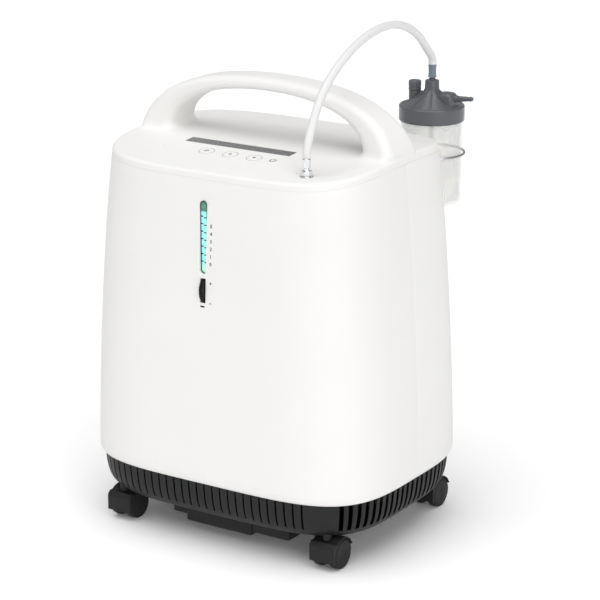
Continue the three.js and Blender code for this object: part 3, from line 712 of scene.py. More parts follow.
def make_foam():
    """Open-cell foam behind the louvres, with a waffled face."""
    half_x, half_z, front, back = 40, 68, 135.9, 122.0
    grid = []
    for v in np.linspace(-half_z, half_z, 109):
        line = []
        for u in np.linspace(-half_x, half_x, 65):
            x, z = DOOR.x + u, DOOR.z + v
            edge = min(half_x - abs(u), half_z - abs(v))
            wave = sin(x * 0.785) * sin(z * 0.785)
            line.append((x, front - 0.9 * (0.5 - 0.5 * wave) - 1.2 * max(0.0, 1 - edge / 2.5) ** 2, z))
        grid.append(line)
    rim = grid[0] + [line[-1] for line in grid[1:]] + grid[-1][-2::-1] + [line[0] for line in grid[-2:0:-1]]
    form = Form().skin(grid, ring=False)
    form.skin([[(x, back, z) for x, _, z in line] for line in grid], ring=False)
    form.skin([rim, [(x, back, z) for x, _, z in rim]])
    form.piece("filter_foam", "foam", replaces="intake_filter", sharp=60)


# ---------------------------------------------------------------- top cover
def display_corners(grow):
    half_x, half_y = DISPLAY.length / 2 + grow, DISPLAY.depth / 2 + grow
    return (DISPLAY.x - half_x, DISPLAY.y - half_y), (DISPLAY.x + half_x, DISPLAY.y + half_y)


def make_top_cover():
    """The crowned cover, with openings for the window, the buttons and the outlet."""
    profile = [(470.0, 9.0, share) for share in (0.03, 0.35, 0.7, 1.0)]
    profile += [(466.0, WALL, 1.0), (SEAM - 0.1, WALL, 1.0)]
    profile += [(SEAM - 0.1, 0.5, 1.0), (SEAM - 0.04, 0.06, 1.0)]
    profile += [(ROLL_START + (RIM - ROLL_START) * sin(a), ROLL * (1 - cos(a)), 1.0) for a in quarter(10)]
    profile += [(RIM, ROLL, share) for share in np.linspace(0.985, 0.02, 60)]
    rows = []
    for level, inset, share in profile:
        row = [casing_point(angle, level, inset, share) for angle in ROUND]
        if level > ROLL_START:
            row = [(x, y, z - dimple(x, y)) for x, y, z in row]
        rows.append(row)
    low, high = display_corners(0.2)
    window = Form().box((*low, THROUGH_TOP[0]), (*high, THROUGH_TOP[1]), radius=0.8)
    holes = [Form().rod(radius + 0.22, *THROUGH_TOP, (x, BUTTON_Y, 0)) for x, radius in BUTTONS.values()]
    outlet = Form().rod(5.8, *THROUGH_TOP, OUTLET_AXIS, steps=48)
    seat = Form().turn([(8.0, OUTLET_SEAT), (8.6, THROUGH_TOP[1])], OUTLET_AXIS)
    Form().solid(rows).piece(
        "top_casing", "white", replaces="top_cover", cut=(window, *holes, outlet, seat))


# ---------------------------------------------------------------- carrying handle
def bezier(points, t):
    a, b, c, d = (np.array(p) for p in points)
    return (1 - t) ** 3 * a + 3 * (1 - t) ** 2 * t * b + 3 * (1 - t) * t * t * c + t ** 3 * d


OUTER_ARCH = [(0, 548), (103, 548), (160, 523), (176.6, 478)]
INNER_ARCH = [(0, 532), (76, 532), (127, 512), (133, 480)]
OUTER_FOOT = (177.0, 462.0)
INNER_FOOT = (133.6, 462.0)
EDGES = {                               # y at the top of the arch and at the foot
    "outer_front": (-24, -33), "outer_rear": (18, 27.5), "inner_rear": (20, 26.5),
    "inner_front": (-26.5, -29),
}
EDGE_ROUND = {"outer_front": 12.0, "outer_rear": 9.0, "inner_rear": 7.0, "inner_front": 14.0}
FOOT_TUCK = 3.0                         # how far the foot's outer front edge stands in from the side
FOOT_FILLET = 10.0
FOOT_HALF_X = 21.0                      # the foot's half sizes, and its middle from front to rear
FOOT_HALF_Y = 33.0
FOOT_MIDDLE_Y = -5.0


def arch_point(arch, foot, along):
    """A place on an arch's curve; past 1 it runs straight down to the foot."""
    if along <= 1:
        return bezier(arch, along)
    end = np.array(arch[-1], float)
    return end + (np.array(foot) - end) * (along - 1)


def handle_section(along):
    """Points round the bar's rounded four-sided section."""
    turn = min(along, 1.0) ** 3
    corners = []
    for name, (top, foot) in EDGES.items():
        arch = (OUTER_ARCH, OUTER_FOOT) if name.startswith("outer") else (INNER_ARCH, INNER_FOOT)
        x, z = arch_point(*arch, along)
        if name == "outer_front":
            x -= FOOT_TUCK * turn
        corners.append(np.array((x, top + (foot - top) * turn, z)))
    points = []
    reaches = list(EDGE_ROUND.values())
    for i, corner in enumerate(corners):
        before = corners[i - 1] - corner
        after = corners[(i + 1) % 4] - corner
        length = np.linalg.norm(after)
        start = corner + before * min(reaches[i] / np.linalg.norm(before), 0.45)
        stop = corner + after * min(reaches[i] / length, 0.45)
        end = corners[(i + 1) % 4] - after * min(reaches[(i + 1) % 4] / length, 0.45)
        points += corner_curve(start, corner, stop, 10)
        points += [stop + (end - stop) * k / 6 for k in range(1, 6)]
    return points


def foot_push(foot):
    """How far, for each millimetre of fillet, a point of the handle's foot moves out along the cover."""
    toward_x = (foot[0] - (OUTER_FOOT[0] + INNER_FOOT[0]) / 2) / FOOT_HALF_X
    toward_y = (foot[1] - FOOT_MIDDLE_Y) / FOOT_HALF_Y
    largest = max(abs(toward_x), abs(toward_y))
    inner_only = min(1.0, max(0.0, (0.97 - toward_x) * 4))
    return (
        min(toward_x, 0.0) * (abs(toward_x) / largest) ** 6,
        toward_y * (abs(toward_y) / largest) ** 6 * inner_only)


def make_handle():
    """The arch, with a soft fillet where its legs stand on the cover."""
    drops = [FOOT_FILLET * (1 - sin(a)) for a in quarter(10)]
    body = [handle_section(along) for along in np.linspace(0, 0.88, 45)]
    trails = np.array([handle_section(along) for along in np.linspace(0.8, 2.0, 400)])
    columns = []
    for i in range(len(body[0])):
        path = [section[i] for section in body]
        trail = trails[:, i]
        above = np.array([z - cover_height(x, y) for x, y, z in trail])
        push_x, push_y = foot_push(trail[int(np.argmin(np.abs(above)))])
        for drop in drops:
            x, y = (np.interp(drop, above[::-1], trail[::-1, axis]) for axis in (0, 1))
            out = FOOT_FILLET - sqrt(FOOT_FILLET ** 2 - (FOOT_FILLET - drop) ** 2)
            x += push_x * out
            y += push_y * out
            path.append((x, y, cover_height(x, y) + drop - 0.15))
        columns.append(path)
    right = list(zip(*columns))
    left = [[(-x, y, z) for x, y, z in row] for row in right[:0:-1]]
    Form().solid(left + right).piece("carrying_handle", "white", replaces="handle", sharp=60)


# ---------------------------------------------------------------- display, buttons and signs
PRINT_LOW, PRINT_HIGH, SIGN_HIGH = -0.25, 0.05, 0.45    # printed lines on the cover, signs on the buttons
CAP_EDGE = ((0.0, -3.6), (0.0, -0.05), (0.12, 0.2), (0.4, 0.34), (0.9, 0.4), (3.5, 0.4), (6.0, 0.4))


def top_sheet(points, lift):
    """Places drawn flat, in x and y, lifted onto the top cover."""
    return [(x, y, cover_height(x, y) + lift) for x, y in points]


def stroke(path, width, closed=False, high=SIGN_HIGH):
    """A printed line on the top: a flat ribbon with a little thickness."""
    count = len(path)
    left, right = [], []
    for i, here in enumerate(path):
        before = path[i - 1] if closed or i else here
        after = path[(i + 1) % count] if closed or i < count - 1 else here
        along = Vector((after[0] - before[0], after[1] - before[1])).normalized()
        side = Vector((-along.y, along.x)) * width / 2
        left.append((here[0] + side.x, here[1] + side.y))
        right.append((here[0] - side.x, here[1] - side.y))
    edges = ((left, PRINT_LOW), (left, high), (right, high), (right, PRINT_LOW))
    columns = list(zip(*(top_sheet(edge, lift) for edge, lift in edges)))
    return Form().skin(columns, loop=closed, caps=(not closed, not closed))


def circle(x, y, radius, start=0.0, stop=360.0, steps=48):
    angles = np.radians(np.linspace(start, stop, steps, endpoint=abs(stop - start) < 359.9))
    return [(x + radius * cos(a), y + radius * sin(a)) for a in angles]


def make_display():
    (x0, y0), (x1, y1) = display_corners(0)
    outline = fillet([(x0, y0), (x1, y0), (x1, y1), (x0, y1)], 0.7, 4)
    edge = ((0.0, -4.0), (0.0, -0.35), (0.12, -0.15), (0.4, -0.06))
    rows = [top_sheet(inset_outline(outline, inset), lift) for inset, lift in edge]
    Form().solid(rows).piece("display_window", "display", replaces="display_lens")


def arrow(x, y, way):
    """A small solid arrowhead over a short stem; way is 1 for up and -1 for down."""
    head = [(x - 2.4, y), (x + 2.4, y), (x, y + 2.6 * way)]
    stem = [(x - 0.7, y - 2.2 * way), (x + 0.7, y - 2.2 * way), (x + 0.7, y), (x - 0.7, y)]
    form = Form()
    for outline in (head, stem):
        form.solid([top_sheet(outline, lift) for lift in (PRINT_LOW, SIGN_HIGH)])
    return form


def bell(x, y):
    """A crossed-out bell."""
    dome = [(x - 2.6, y - 1.6), (x - 1.9, y - 0.8)] + circle(x, y + 0.6, 1.9, 180, 0, 14)
    dome += [(x + 1.9, y - 0.8), (x + 2.6, y - 1.6)]
    clapper = circle(x, y - 2.0, 0.8, 200, 340, 8)
    slash = [(x - 3.2, y - 3.0), (x, y), (x + 3.2, y + 3.0)]
    return Form(stroke(dome, 0.7, closed=True), stroke(clapper, 0.6), stroke(slash, 0.7))


def power_mark(x, y):
    arc = circle(x, y, 3.7, 125, 415, 30)
    bar = [(x, y + 0.6), (x, y + 2.6), (x, y + 4.8)]
    return Form(stroke(arc, 1.15), stroke(bar, 1.15))


def make_buttons():
    """Round caps with signs; every button but the power button has a printed ring round it."""
    signs = (bell, lambda x, y: arrow(x, y, -1), lambda x, y: arrow(x, y, 1), power_mark)
    for (name, (x, radius)), sign in zip(BUTTONS.items(), signs):
        rows = [top_sheet(circle(x, BUTTON_Y, radius - inset, steps=64), lift) for inset, lift in CAP_EDGE]
        Form().solid(rows).piece(name + "_cap", "white", body=name, replaces=name)
        sign(x, BUTTON_Y).piece(name + "_sign", "print_black", body=name)
        if name != "power_button":
            ring = stroke(circle(x, BUTTON_Y, radius + 0.75, steps=72), 0.6, closed=True, high=PRINT_HIGH)
            ring.piece(name + "_ring", "print_light")


def glyph(text, size, x, z):
    """A character as a thin solid on the casing's front, with its middle at x and z."""
    curve = bpy.data.curves.new("glyph", "FONT")
    curve.body = text
    curve.size = size
    curve.align_x = "CENTER"
    curve.align_y = "CENTER"
    curve.extrude = 0.1
    curve.offset = 0.14
    curve.resolution_u = 6
    holder = add_object("glyph", curve)
    graph = bpy.context.evaluated_depsgraph_get()
    mesh = bpy.data.meshes.new_from_object(holder.evaluated_get(graph))
    flat = [tuple(v.co) for v in mesh.vertices]
    faces = [tuple(p.vertices) for p in mesh.polygons]
    bpy.data.objects.remove(holder)
    bpy.data.meshes.remove(mesh)
    return Form().add([(x + u, front_face(z + v, x + u) + 0.05 - w, z + v) for u, v, w in flat], faces)


def make_front_print():
    """The flow scale's numbers, and the plus, minus and dash round the thumbwheel."""
    forms = [glyph(str(5 - i), 5.6, 7.4, 398.5 - SCALE_STEP * i) for i in range(6)]
    forms += [glyph("+", 6.4, 8.0, 331.4), glyph("-", 7.6, 7.8, 308.6)]
    Form(*forms).piece("flow_scale_print", "print_black")
    face = front_face(303)
    Form().box((-6.0, face - 0.06, 302.0), (-0.2, face + 1, 304.0)).piece("flow_slot_dash", "print_black")


# ---------------------------------------------------------------- flowmeter
def tube_rows(edge):
    """Rings of the flow tube's outline, one for each (inset, depth behind its front)."""
    return [[(x, TUBE.front + depth, z) for x, z in capsule(-inset)] for inset, depth in edge]


def make_flow_tube():
    """A tube with a painted glow and a rounded front, closed at both ends."""
    bore = Form().rod(2.6, TUBE.bottom + 3.5, TUBE.top - 3.5, TUBE_AXIS, steps=32)
    rows = tube_rows(((0.0, 14.2), (0.0, 1.6), (0.25, 0.9), (0.8, 0.35), (1.7, 0.08), (3.0, 0.0)))
    Form().solid(rows).piece("flow_tube_body", "lit_tube", replaces="flow_tube", cut=(bore,), sharp=50)


def make_flow_ticks():
    """The scale's dark marks on the tube, in two columns."""
    form = Form()
    left, right = TUBE.x - TUBE.width / 2, TUBE.x + TUBE.width / 2
    for i in range(7):
        z = 407.5 - SCALE_STEP * i
        for low, high, level in ((left + 0.1, left + 3.7, z + 1.4), (right - 3.9, right - 0.1, z)):
            form.box((low, TUBE.front - 0.12, level - 0.6), (high, TUBE.front + 1.2, level + 0.7))
    form.piece("flow_scale_ticks", "print_black")


def make_flow_gasket():
    """A thin dark gasket between the tube's edge and the slot in the casing."""
    rows = tube_rows(((-0.25, 0.6), (-0.25, -0.4), (0.0, -0.5), (0.16, -0.3), (0.16, 0.6)))
    Form().skin(rows, loop=True).piece("flow_tube_gasket", "print")


def make_float():
    """A small bobbin with a groove round its middle."""
    profile = [
        (0, -2.2), (0.9, -2.05), (1.7, -1.5), (2.15, -0.7), (2.0, -0.25), (2.0, 0.25), (2.15, 0.7),
        (1.7, 1.5), (0.9, 2.05), (0, 2.2)]
    Form().turn(profile, (*TUBE_AXIS[:2], 348.0), steps=32).piece(
        "flow_float_bobbin", "chrome", body="float", replaces="flow_float", sharp=60)


def make_flow_knob():
    """A ribbed thumbwheel on a short spindle."""
    ribs, half = 44, KNOB.width / 2

    def ribbed(angle):
        return KNOB.radius - 0.9 * (1 - (0.5 + 0.5 * cos(angle * ribs)) ** 0.6)

    edge = (
        (-half, 0.88), (-half + 0.25, 0.975), (-half + 0.8, 1.0), (half - 0.8, 1.0), (half - 0.25, 0.975),
        (half, 0.88))
    form = Form().solid([
        ring_row(lambda angle: ribbed(angle) * share, x, KNOB_CENTRE, "x", ribs * 8) for x, share in edge])
    form.turn([(0, 5.5), (2.6, 5.5), (3.0, 5.9), (3.0, 10.6), (2.6, 11), (0, 11)], KNOB_CENTRE, "x", 32)
    form.turn([(0, 2.9), (2.9, 2.9), (2.9, 5.7), (0, 5.7)], KNOB_CENTRE, "x", 32)
    form.piece("flow_thumbwheel", "gloss_black", body="knob", replaces="flow_knob")


# ---------------------------------------------------------------- oxygen outlet
def hexagon(angle):
    """A hex nut's reach at an angle."""
    return 6.4 * cos(pi / 6) / cos((angle + pi / 6) % (pi / 3) - pi / 6)


def make_outlet():
    """Plated fitting: flange, hex nut, waist and the collar that grips the hose."""
    centre = (*OUTLET_AXIS[:2], OUTLET_SEAT + 0.3)
    top = 484.7 - centre[2]
    body = fillet([
        (0.01, -13.5), (5.5, -13.5), (5.5, 0, 0), (7.2, 0), (7.2, 1.6), (5.0, 2.1), (5.0, 8.6), (3.5, 9.0),
        (3.5, 11.0), (4.7, 11.8), (4.7, top - 1.0, 0.6), (3.9, top), (0.01, top),
    ], 0.3, 3, closed=False)
    nut = [
        ring_row(lambda angle: min(radius, hexagon(angle)), height, centre, steps=48)
        for height, radius in ((2.2, 5.9), (2.7, 6.3), (7.6, 6.3), (8.1, 5.9))]
    Form().turn(body, centre, steps=56).solid(nut).piece(
        "oxygen_outlet", "chrome", replaces="outlet_fitting", sharp=28)


def make_pins():
    """The two small pins on the cover."""
    form = Form()
    for x, y, radius, heights in ((97, -105, 0.8, (0.12, 0.25, 0.28)), (-100, -83, 0.7, (0.1, 0.2, 0.22))):
        profile = [(0, -1.0), (radius, -1.0), *zip((radius, radius - 0.3, 0), heights)]
        form.turn(profile, (x, y, cover_height(x, y)), steps=20)
    form.piece("microphone_pins", "print_light")


# ---------------------------------------------------------------- humidifier bottle
BOTTLE = Sizes(
    x=104.0, y=188.0, bottom=370.0, jar_top=478.0, bottom_radius=37.0, top_radius=37.6, wall=2.2,
    lid_radius=40.1, lid_bottom=472.0, lid_top=491.0)
BOTTLE_AXIS = (BOTTLE.x, BOTTLE.y, 0)
BOTTLE_FOOT = (BOTTLE.x, BOTTLE.y, BOTTLE.bottom)
RELIEF = Sizes(radius=7.7, post_top=505.7, top=518.0, flutes=22, depth=0.35)
RELIEF_AXIS = (BOTTLE.x - 24.0, BOTTLE.y, 0)
RING = Sizes(z=431.5, radius=40.4, wire=1.6)


def lid_body():
    """Screw lid with a banded rim, a low dome and a centre post that ends in the nozzle."""
    radius, inner, low = BOTTLE.lid_radius, BOTTLE.top_radius + 0.5, BOTTLE.lid_bottom - BOTTLE.lid_top
    outline = [
        (0.01, -10.5), (inner, -11.7, 0.5), (inner, low, 0.4), (radius - 0.5, low, 0.6),
        (radius, low + 1.5, 0.8), (radius, -1.4, 0.9), (radius - 1.2, 0, 0.7), (radius - 3.6, 0.3, 0.6),
        (radius - 4.4, -0.9, 0.8), (33.0, 0.9, 2.0), (21.0, 8.2, 8.0), (11.5, 14.5, 4.0), (8.9, 18.5, 2.5),
        (8.5, 29.4, 0.6), (7.6, 30.0, 0.4), (4.4, 30.0, 0.4), (4.2, 31.6, 0.4), (3.2, 32.4, 0.6),
        (3.1, 35.0, 0.3), (3.25, 36.2, 0.3), (3.0, 39.0, 0.5), (0.01, 39.0),
    ]
    centre = (*BOTTLE_AXIS[:2], BOTTLE.lid_top)
    return Form().turn(fillet(outline, 0.5, 5, closed=False), centre, steps=120)


def lid_grips():
    """Fine upright grips round the lid's band."""
    form = Form()
    radius = BOTTLE.lid_radius
    for angle in turns(60):
        outline = []
        for depth, side in ((1.0, -0.55), (0.05, -0.42), (0.05, 0.42), (1.0, 0.55)):
            a = angle + side / radius
            outline.append((BOTTLE.x + (radius - depth) * cos(a), BOTTLE.y + (radius - depth) * sin(a)))
        form.prism(outline, BOTTLE.lid_bottom + 1.9, BOTTLE.lid_top - 2.4)
    return form


def lid_ribs():
    """Thin ribs that run down the dome from the centre post."""
    form = Form()
    line = ((8.0, 20.0), (10.6, 15.6), (14.5, 12.9), (21, 8.4), (27, 4.7), (33, 0.6))
    section = ((-0.7, 2.5), (-0.55, 0.25), (-0.25, -0.25), (0.25, -0.25), (0.55, 0.25), (0.7, 2.5))
    for angle in map(radians, (-150, -105, -62, -30, 45, 100, 150)):
        form.solid([[
            (BOTTLE.x + reach * cos(angle) - side * sin(angle),
             BOTTLE.y + reach * sin(angle) + side * cos(angle), BOTTLE.lid_top + lift - drop + 0.6)
            for side, drop in section] for reach, lift in line])
    return form


def make_lid():
    """The lid with its relief post, the web to it, and the hump that carries the outlet barb."""
    top = BOTTLE.lid_top
    x, y, _ = BOTTLE_AXIS
    post_top = RELIEF.post_top
    outline = [(0.01, top - 2), (7.4, top - 2), (7.4, post_top - 0.6), (6.9, post_top), (0.01, post_top)]
    post = Form().turn(fillet(outline, 0.4, 3, closed=False), RELIEF_AXIS, steps=48)
    web = Form().box((x - 19, y - 1.6, top + 1), (x - 5, y + 1.6, top + 15.0), bevel=0.5)
    hump = Form().solid([[
        (x + 21.0 + 11.8 * share * spread(cos(a), 3.2), y + 10.5 * share * spread(sin(a), 3.2), top + lift)
        for a in turns(64)] for share, lift in (
            (1.0, -2), (1.0, 8.5), (0.985, 11), (0.93, 13.2), (0.83, 15.1), (0.68, 16.4), (0.48, 17.1),
            (0.22, 17.4))])
    neck = Form().tube(
        [(x + 24, y, 500.8), (x + 32, y, 501.1), (x + 35.5, y, 501.4), (x + 36.5, y, 501.5)],
        [4.9, 4.6, 4.3, 4.0])
    barb = Form().tube(
        [(x + 36.0, y, 501.4), (x + 50.0, y, 502.9), (x + 50.4, y, 502.9), (x + 50.6, y, 503.0),
         (x + 51.4, y, 503.0), (x + 55.9, y, 503.5), (x + 56.4, y, 503.5)],
        [3.7, 2.9, 2.8, 2.4, 2.4, 2.4, 2.1])
    ridge = Form().turn(
        [(0.01, -1.0), (3.0, -1.0), (3.1, 0.0), (2.5, 1.2), (0.01, 1.2)], (x + 53.6, y, 503.2), "x", 32)
    Form(lid_body(), lid_grips(), lid_ribs(), post, web, hump, neck, barb, ridge).piece(
        "humidifier_cover", "lid", replaces="humidifier_lid", sharp=40)


def make_relief_cap():
    """The relief valve's cap, with a fluted and grooved skirt and a dished top."""
    radius, top, groove = RELIEF.radius, RELIEF.top - RELIEF.post_top - 0.3, RELIEF.radius - 0.5
    outline = fillet([
        (0.01, 0), (radius - 0.3, 0), (radius, 0.8), (radius, 3.2), (groove, 3.7), (groove, 4.4),
        (radius, 4.9), (radius, top - 0.8), (radius - 0.8, top), (radius - 2.2, top),
        (radius - 2.8, top - 0.7), (0.01, top - 0.7)], 0.35, 3, closed=False)
    rows = []
    for reach, height in outline:
        depth = RELIEF.depth if 0.8 < height < top - 0.6 and reach > radius - 1.0 else 0.0
        rows.append(ring_row(
            lambda angle: reach - depth * (0.5 - 0.5 * cos(RELIEF.flutes * angle)), height,
            (*RELIEF_AXIS[:2], RELIEF.post_top + 0.3), steps=RELIEF.flutes * 8))
    Form().solid(rows).piece("relief_valve_cap", "lid", body="relief", replaces="relief_cap")


def make_jar():
    """Clear tapered jar with a rolled foot, a neck bead and faint level lines."""
    height, wall = BOTTLE.jar_top + 0.7 - BOTTLE.bottom, BOTTLE.wall
    widening = BOTTLE.top_radius - BOTTLE.bottom_radius

    def radius(z):
        return BOTTLE.bottom_radius + widening * z / height

    outside = [(0.01, 1.4), (20, 1.2), (24, 0.1), (28, 0), (31, 0.5)]
    outside += [(radius(8) - 2.6 + 2.6 * sin(a), 8 - 7.0 * cos(a)) for a in quarter(6)[1:]]
    for level, relief in ((26.0, -0.6), (34.0, 1), (52.0, -0.6), (82.0, -0.6), (98.0, 1)):
        for lift, rise in ((-1.2, 0.0), (-0.5, 0.28), (0.0, 0.36), (0.5, 0.28), (1.2, 0.0)):
            outside.append((radius(level + lift) + relief * rise, level + lift))
    outside += [(radius(104), 104), (radius(height) - 0.05, height - 0.3), (radius(height) - 0.4, height)]
    inside = [(radius(z) - wall, z) for z in (height, 90, 9)]
    inside += [(radius(0) - wall - 1.6, 4.4), (radius(0) - wall - 5, 2.8), (22, 2.8), (0.01, 3.2)]
    Form().turn(outside + inside, BOTTLE_FOOT, steps=96).piece(
        "humidifier_jar_body", "jar", replaces="humidifier_jar", sharp=50)


def make_diffuser():
    """The tube inside the jar, with its slotted diffuser head."""
    profile = [(0.01, 8), (6.2, 8), (7.0, 8.8)]
    for k in range(5):
        z = 10.4 + 2.6 * k
        profile += [(7.0, z), (6.2, z + 0.4), (6.2, z + 1.0), (7.0, z + 1.4)]
    profile += [(7.0, 24), (5.4, 26), (3.5, 27.5), (3.5, 113.5), (2.2, 113.8), (2.2, 29), (0.01, 28)]
    Form().turn(profile, BOTTLE_FOOT, steps=40).piece(
        "diffuser_stem", "tube_clear", replaces="diffuser_tube")


def wire_ring(grow, around, along):
    """The wire ring round the jar, its wire thicker by a distance."""
    wire = RING.wire + grow
    profile = [(RING.radius + wire * cos(a), RING.z + wire * sin(a)) for a in turns(along)]
    return Form().turn(profile, BOTTLE_AXIS, steps=around, hollow=True)


def make_bracket():
    """The wire ring, and the wall plate with a jaw on it and a shelf under the jar."""
    wire_ring(0, 120, 16).piece("bottle_wire_ring", "steel", replaces="bottle_ring")
    x, y, _ = BOTTLE_AXIS
    shelf_top = BOTTLE.bottom - 0.3
    face = -front_face(RING.z, x + 20) + 2
    jaw = y - RING.radius - RING.wire + 5
    plate = Form().box((x - 22, face, shelf_top - 8), (x + 2, jaw, RING.z + 7), bevel=0.8, axis="x")
    shelf = Form().box((x - 22, face, shelf_top - 4), (x + 2, y - 4, shelf_top), radius=5, bevel=0.7)
    jar_room = Form().rod(BOTTLE.top_radius + 0.6, shelf_top, 500, BOTTLE_AXIS, steps=96)
    wall = Form().solid(casing_rows([(level, -0.3) for level in np.linspace(300, 460, 24)]))
    plate.piece("bracket_plate", "white", cut=(jar_room, wire_ring(0.3, 96, 12), wall))
    shelf.piece("bracket_shelf", "white", replaces="bottle_bracket", cut=(wall,))


# ---------------------------------------------------------------- rear sockets
def make_inlet():
    """Mains socket with a bevelled bezel, three flat pins and two screws."""
    x, z = INLET.x, INLET.z
    half_x, half_z = INLET.width / 2, INLET.height / 2
    face = -front_face(z, x + half_x)
    body = Form().box(
        (x - half_x, face - INLET.depth, z - half_z), (x + half_x, face + 0.4, z + half_z),
        radius=2.2, bevel=0.6, axis="y")
    mouth = fillet([
        (x - 12, z - 8, 1.2), (x + 12, z - 8, 1.2), (x + 12, z + 3.5, 1.0), (x + 7.5, z + 8, 1.0),
        (x - 7.5, z + 8, 1.0), (x - 12, z + 3.5, 1.0)], 1, 4)
    socket = Form().prism(mouth, face - 18, face + 5, axis="y")
    body.piece("mains_inlet", "black", replaces="power_inlet", cut=(socket,))
    pins = Form()
    for px, pz in ((x - 7, z - 2.5), (x + 7, z - 2.5), (x, z + 2.5)):
        pins.box((px - 1, face - 18.5, pz - 2), (px + 1, face - 4, pz + 2), radius=0.4, bevel=0.4, axis="y")
    pins.piece("mains_pins", "steel")
    for side, sx in (("left", x - 19), ("right", x + 19)):
        screw = Form().turn(
            [(0, -2), (2.6, -2), (2.6, 0.5), (2.2, 0.9), (0, 1.1)], (sx, face + 0.3, z), "y", 32)
        slot = Form().box((sx - 3, face + 0.9, z - 0.35), (sx + 3, face + 2, z + 0.35))
        screw.piece("mains_screw_" + side, "steel", cut=(slot,))


def make_breaker():
    """The breaker's round push button, with a dished face."""
    radius, middle = BREAKER.radius, -front_face(BREAKER.z, BREAKER.x) - 5
    profile = fillet([
        (0.01, -8), (radius, -8), (radius, 7, 0.9), (radius - 1, 7.9), (radius - 1.8, 7.4), (0.01, 7.2),
    ], 0.5, 4, closed=False)
    Form().turn(profile, (BREAKER.x, middle, BREAKER.z), "y", 40).piece(
        "breaker_reset_button", "gloss_black", body="breaker", replaces="breaker_button")


# ---------------------------------------------------------------- skirt, tray and duct
SKIRT_LEVELS = [
    (84.6, 5.2), (77, 5.8), (70, 6.5), (63, 7.6), (57, 9.1), (53, 10.6), (49.5, 12.5), (46.5, 14.8),
    (44, 17.0), (42.2, 19.0), (41.0, 20.8), (40.6, 22.2), (40.8, 23.4), (42.0, 23.6), (44.4, 20.6),
    (47.4, 17.4), (51, 14.8), (55, 12.8), (60, 11.2), (66, 10.0), (73, 9.1), (84.2, 8.3), (84.6, 7.9),
    (84.7, 5.9),
]
# A near-black ring inside the skirt: painted shade behind the slots.
SHADE_LINER = ((48.2, 20.0), (84.2, 20.0), (84.2, 21.6), (48.2, 21.6))
SLOT_SPAN = (50.5, 90.0)
SIDE_SLOTS = Sizes(count=22, spacing=11.2, width=5.4, start=-120)     # start is y
FRONT_SLOTS = Sizes(count=28, spacing=-11.0, width=2.2, start=127)    # start is x


def outline_walk(level, inset):
    """Points, outward normals and distances round the casing's plan, from the middle of the right side."""
    points = np.array([casing_point(a, level, inset)[:2] for a in even_angles(2400)])
    ahead = np.roll(points, -1, axis=0) - np.roll(points, 1, axis=0)
    ahead /= np.linalg.norm(ahead, axis=1)[:, None]
    normals = np.stack([ahead[:, 1], -ahead[:, 0]], axis=1)
    steps = np.linalg.norm(np.roll(points, -1, axis=0) - points, axis=1)
    return points, normals, np.concatenate([[0], np.cumsum(steps)])


def slot_shade_lining(form, base, out, width):
    """Adds thin near-black matt plates on the two walls of a slot, a little behind the skirt's surface:
    painted shade that keeps the slots dark.
    """
    across = Vector((-out.y, out.x))
    near, far = width / 2 - 0.3, width / 2 - 0.02
    for hand in (-1, 1):
        rows = []
        for z, inset in SKIRT_LEVELS[1:7] + [(51.0, 12.2)]:
            row = []
            for reach, offset in ((inset + 0.9, far), (inset + 0.9, near), (17.5, near), (17.5, far)):
                spot = base + out * (6.5 - reach) + across * hand * offset
                row.append((spot.x, spot.y, z))
            rows.append(row)
        form.solid(rows)


def skirt_slots():
    """Wide slots along the two sides and narrow ones along the front and rear, with their painted-shade
    linings.
    """
    points, normals, walk = outline_walk(70, 6.5)
    walk, total = walk[:-1], walk[-1]
    count = len(points)
    quarter_turn = [k for k in range(count) if points[k][0] > 0 > points[k][1]]    # front right
    cuts, shade_lining = Form(), Form()
    for axis, slots in ((1, SIDE_SLOTS), (0, FRONT_SLOTS)):
        start = walk[min(quarter_turn, key=lambda k: abs(points[k][axis] - slots.start))]
        for i in range(slots.count):
            index = int(np.argmin(np.abs(walk - (start + slots.spacing * i) % total)))
            for k in (index, (index + count // 2) % count):
                base, out = Vector(points[k]), Vector(normals[k])
                slot_shade_lining(shade_lining, base, out, slots.width)
                side = Vector((-out.y, out.x)) * slots.width / 2
                outer, inner = base + out * 12, base - out * 10.5
                corners = (outer + side, outer - side, inner - side, inner + side)
                cuts.prism([tuple(c) for c in corners], *SLOT_SPAN)
    return cuts, shade_lining


def make_skirt():
    slots, shade_lining = skirt_slots()
    Form().skin(casing_rows(SKIRT_LEVELS, even_angles(400)), loop=True).piece(
        "air_skirt", "black", replaces="base_skirt", cut=(slots,))
    # Near-black ring and slot linings: painted shade inside the skirt.
    ring = Form().skin(casing_rows(SHADE_LINER, even_angles(160)), loop=True)
    Form(ring, shade_lining).piece("skirt_shade_liner", "shade_sheet")


def make_tray():
    """Floor tray with a rolled lip and a grid of shallow stiffening ribs."""
    lip = ((44.8, 19.6), (44.9, 19.1), (45.3, 18.6), (47.3, 18.5), (47.7, 18.7), (47.8, 19.2))
    Form().solid(casing_rows(lip, even_angles(240))).piece("floor_tray", "black", replaces="base_tray")
    ribs = Form()
    for x in range(-88, 89, 22):
        ribs.box((x - 1, 0, 43.4), (x + 1, 104, 45.0), radius=0.6, bevel=0.4)
    for y in (0, 35, 70, 104):
        ribs.box((-96, y - 1, 43.2), (96, y + 1, 45.0), radius=0.6, bevel=0.4)
    ribs.piece("tray_ribs", "black")


def make_duct():
    """Stepped exhaust duct under the tray."""
    form = Form()
    for x0, x1, front, bottom in ((-54, 40, -116, 17), (-76, -50, -112, 23), (36, 92, -114, 21)):
        form.box((x0, front, bottom), (x1, -40, 44.5), radius=3, bevel=1.5)
    form.piece("exhaust_duct", "black", replaces="bottom_duct")


# ---------------------------------------------------------------- casters
WHEEL = Sizes(radius=18.5, width=11.2, bore=2.1, trail=9)
HOOD = Sizes(radius=20.9, half_width=17, well=19.1, web=5.0, axle=2.0, axle_half=16.4, socket=6.1, pin=3.4)


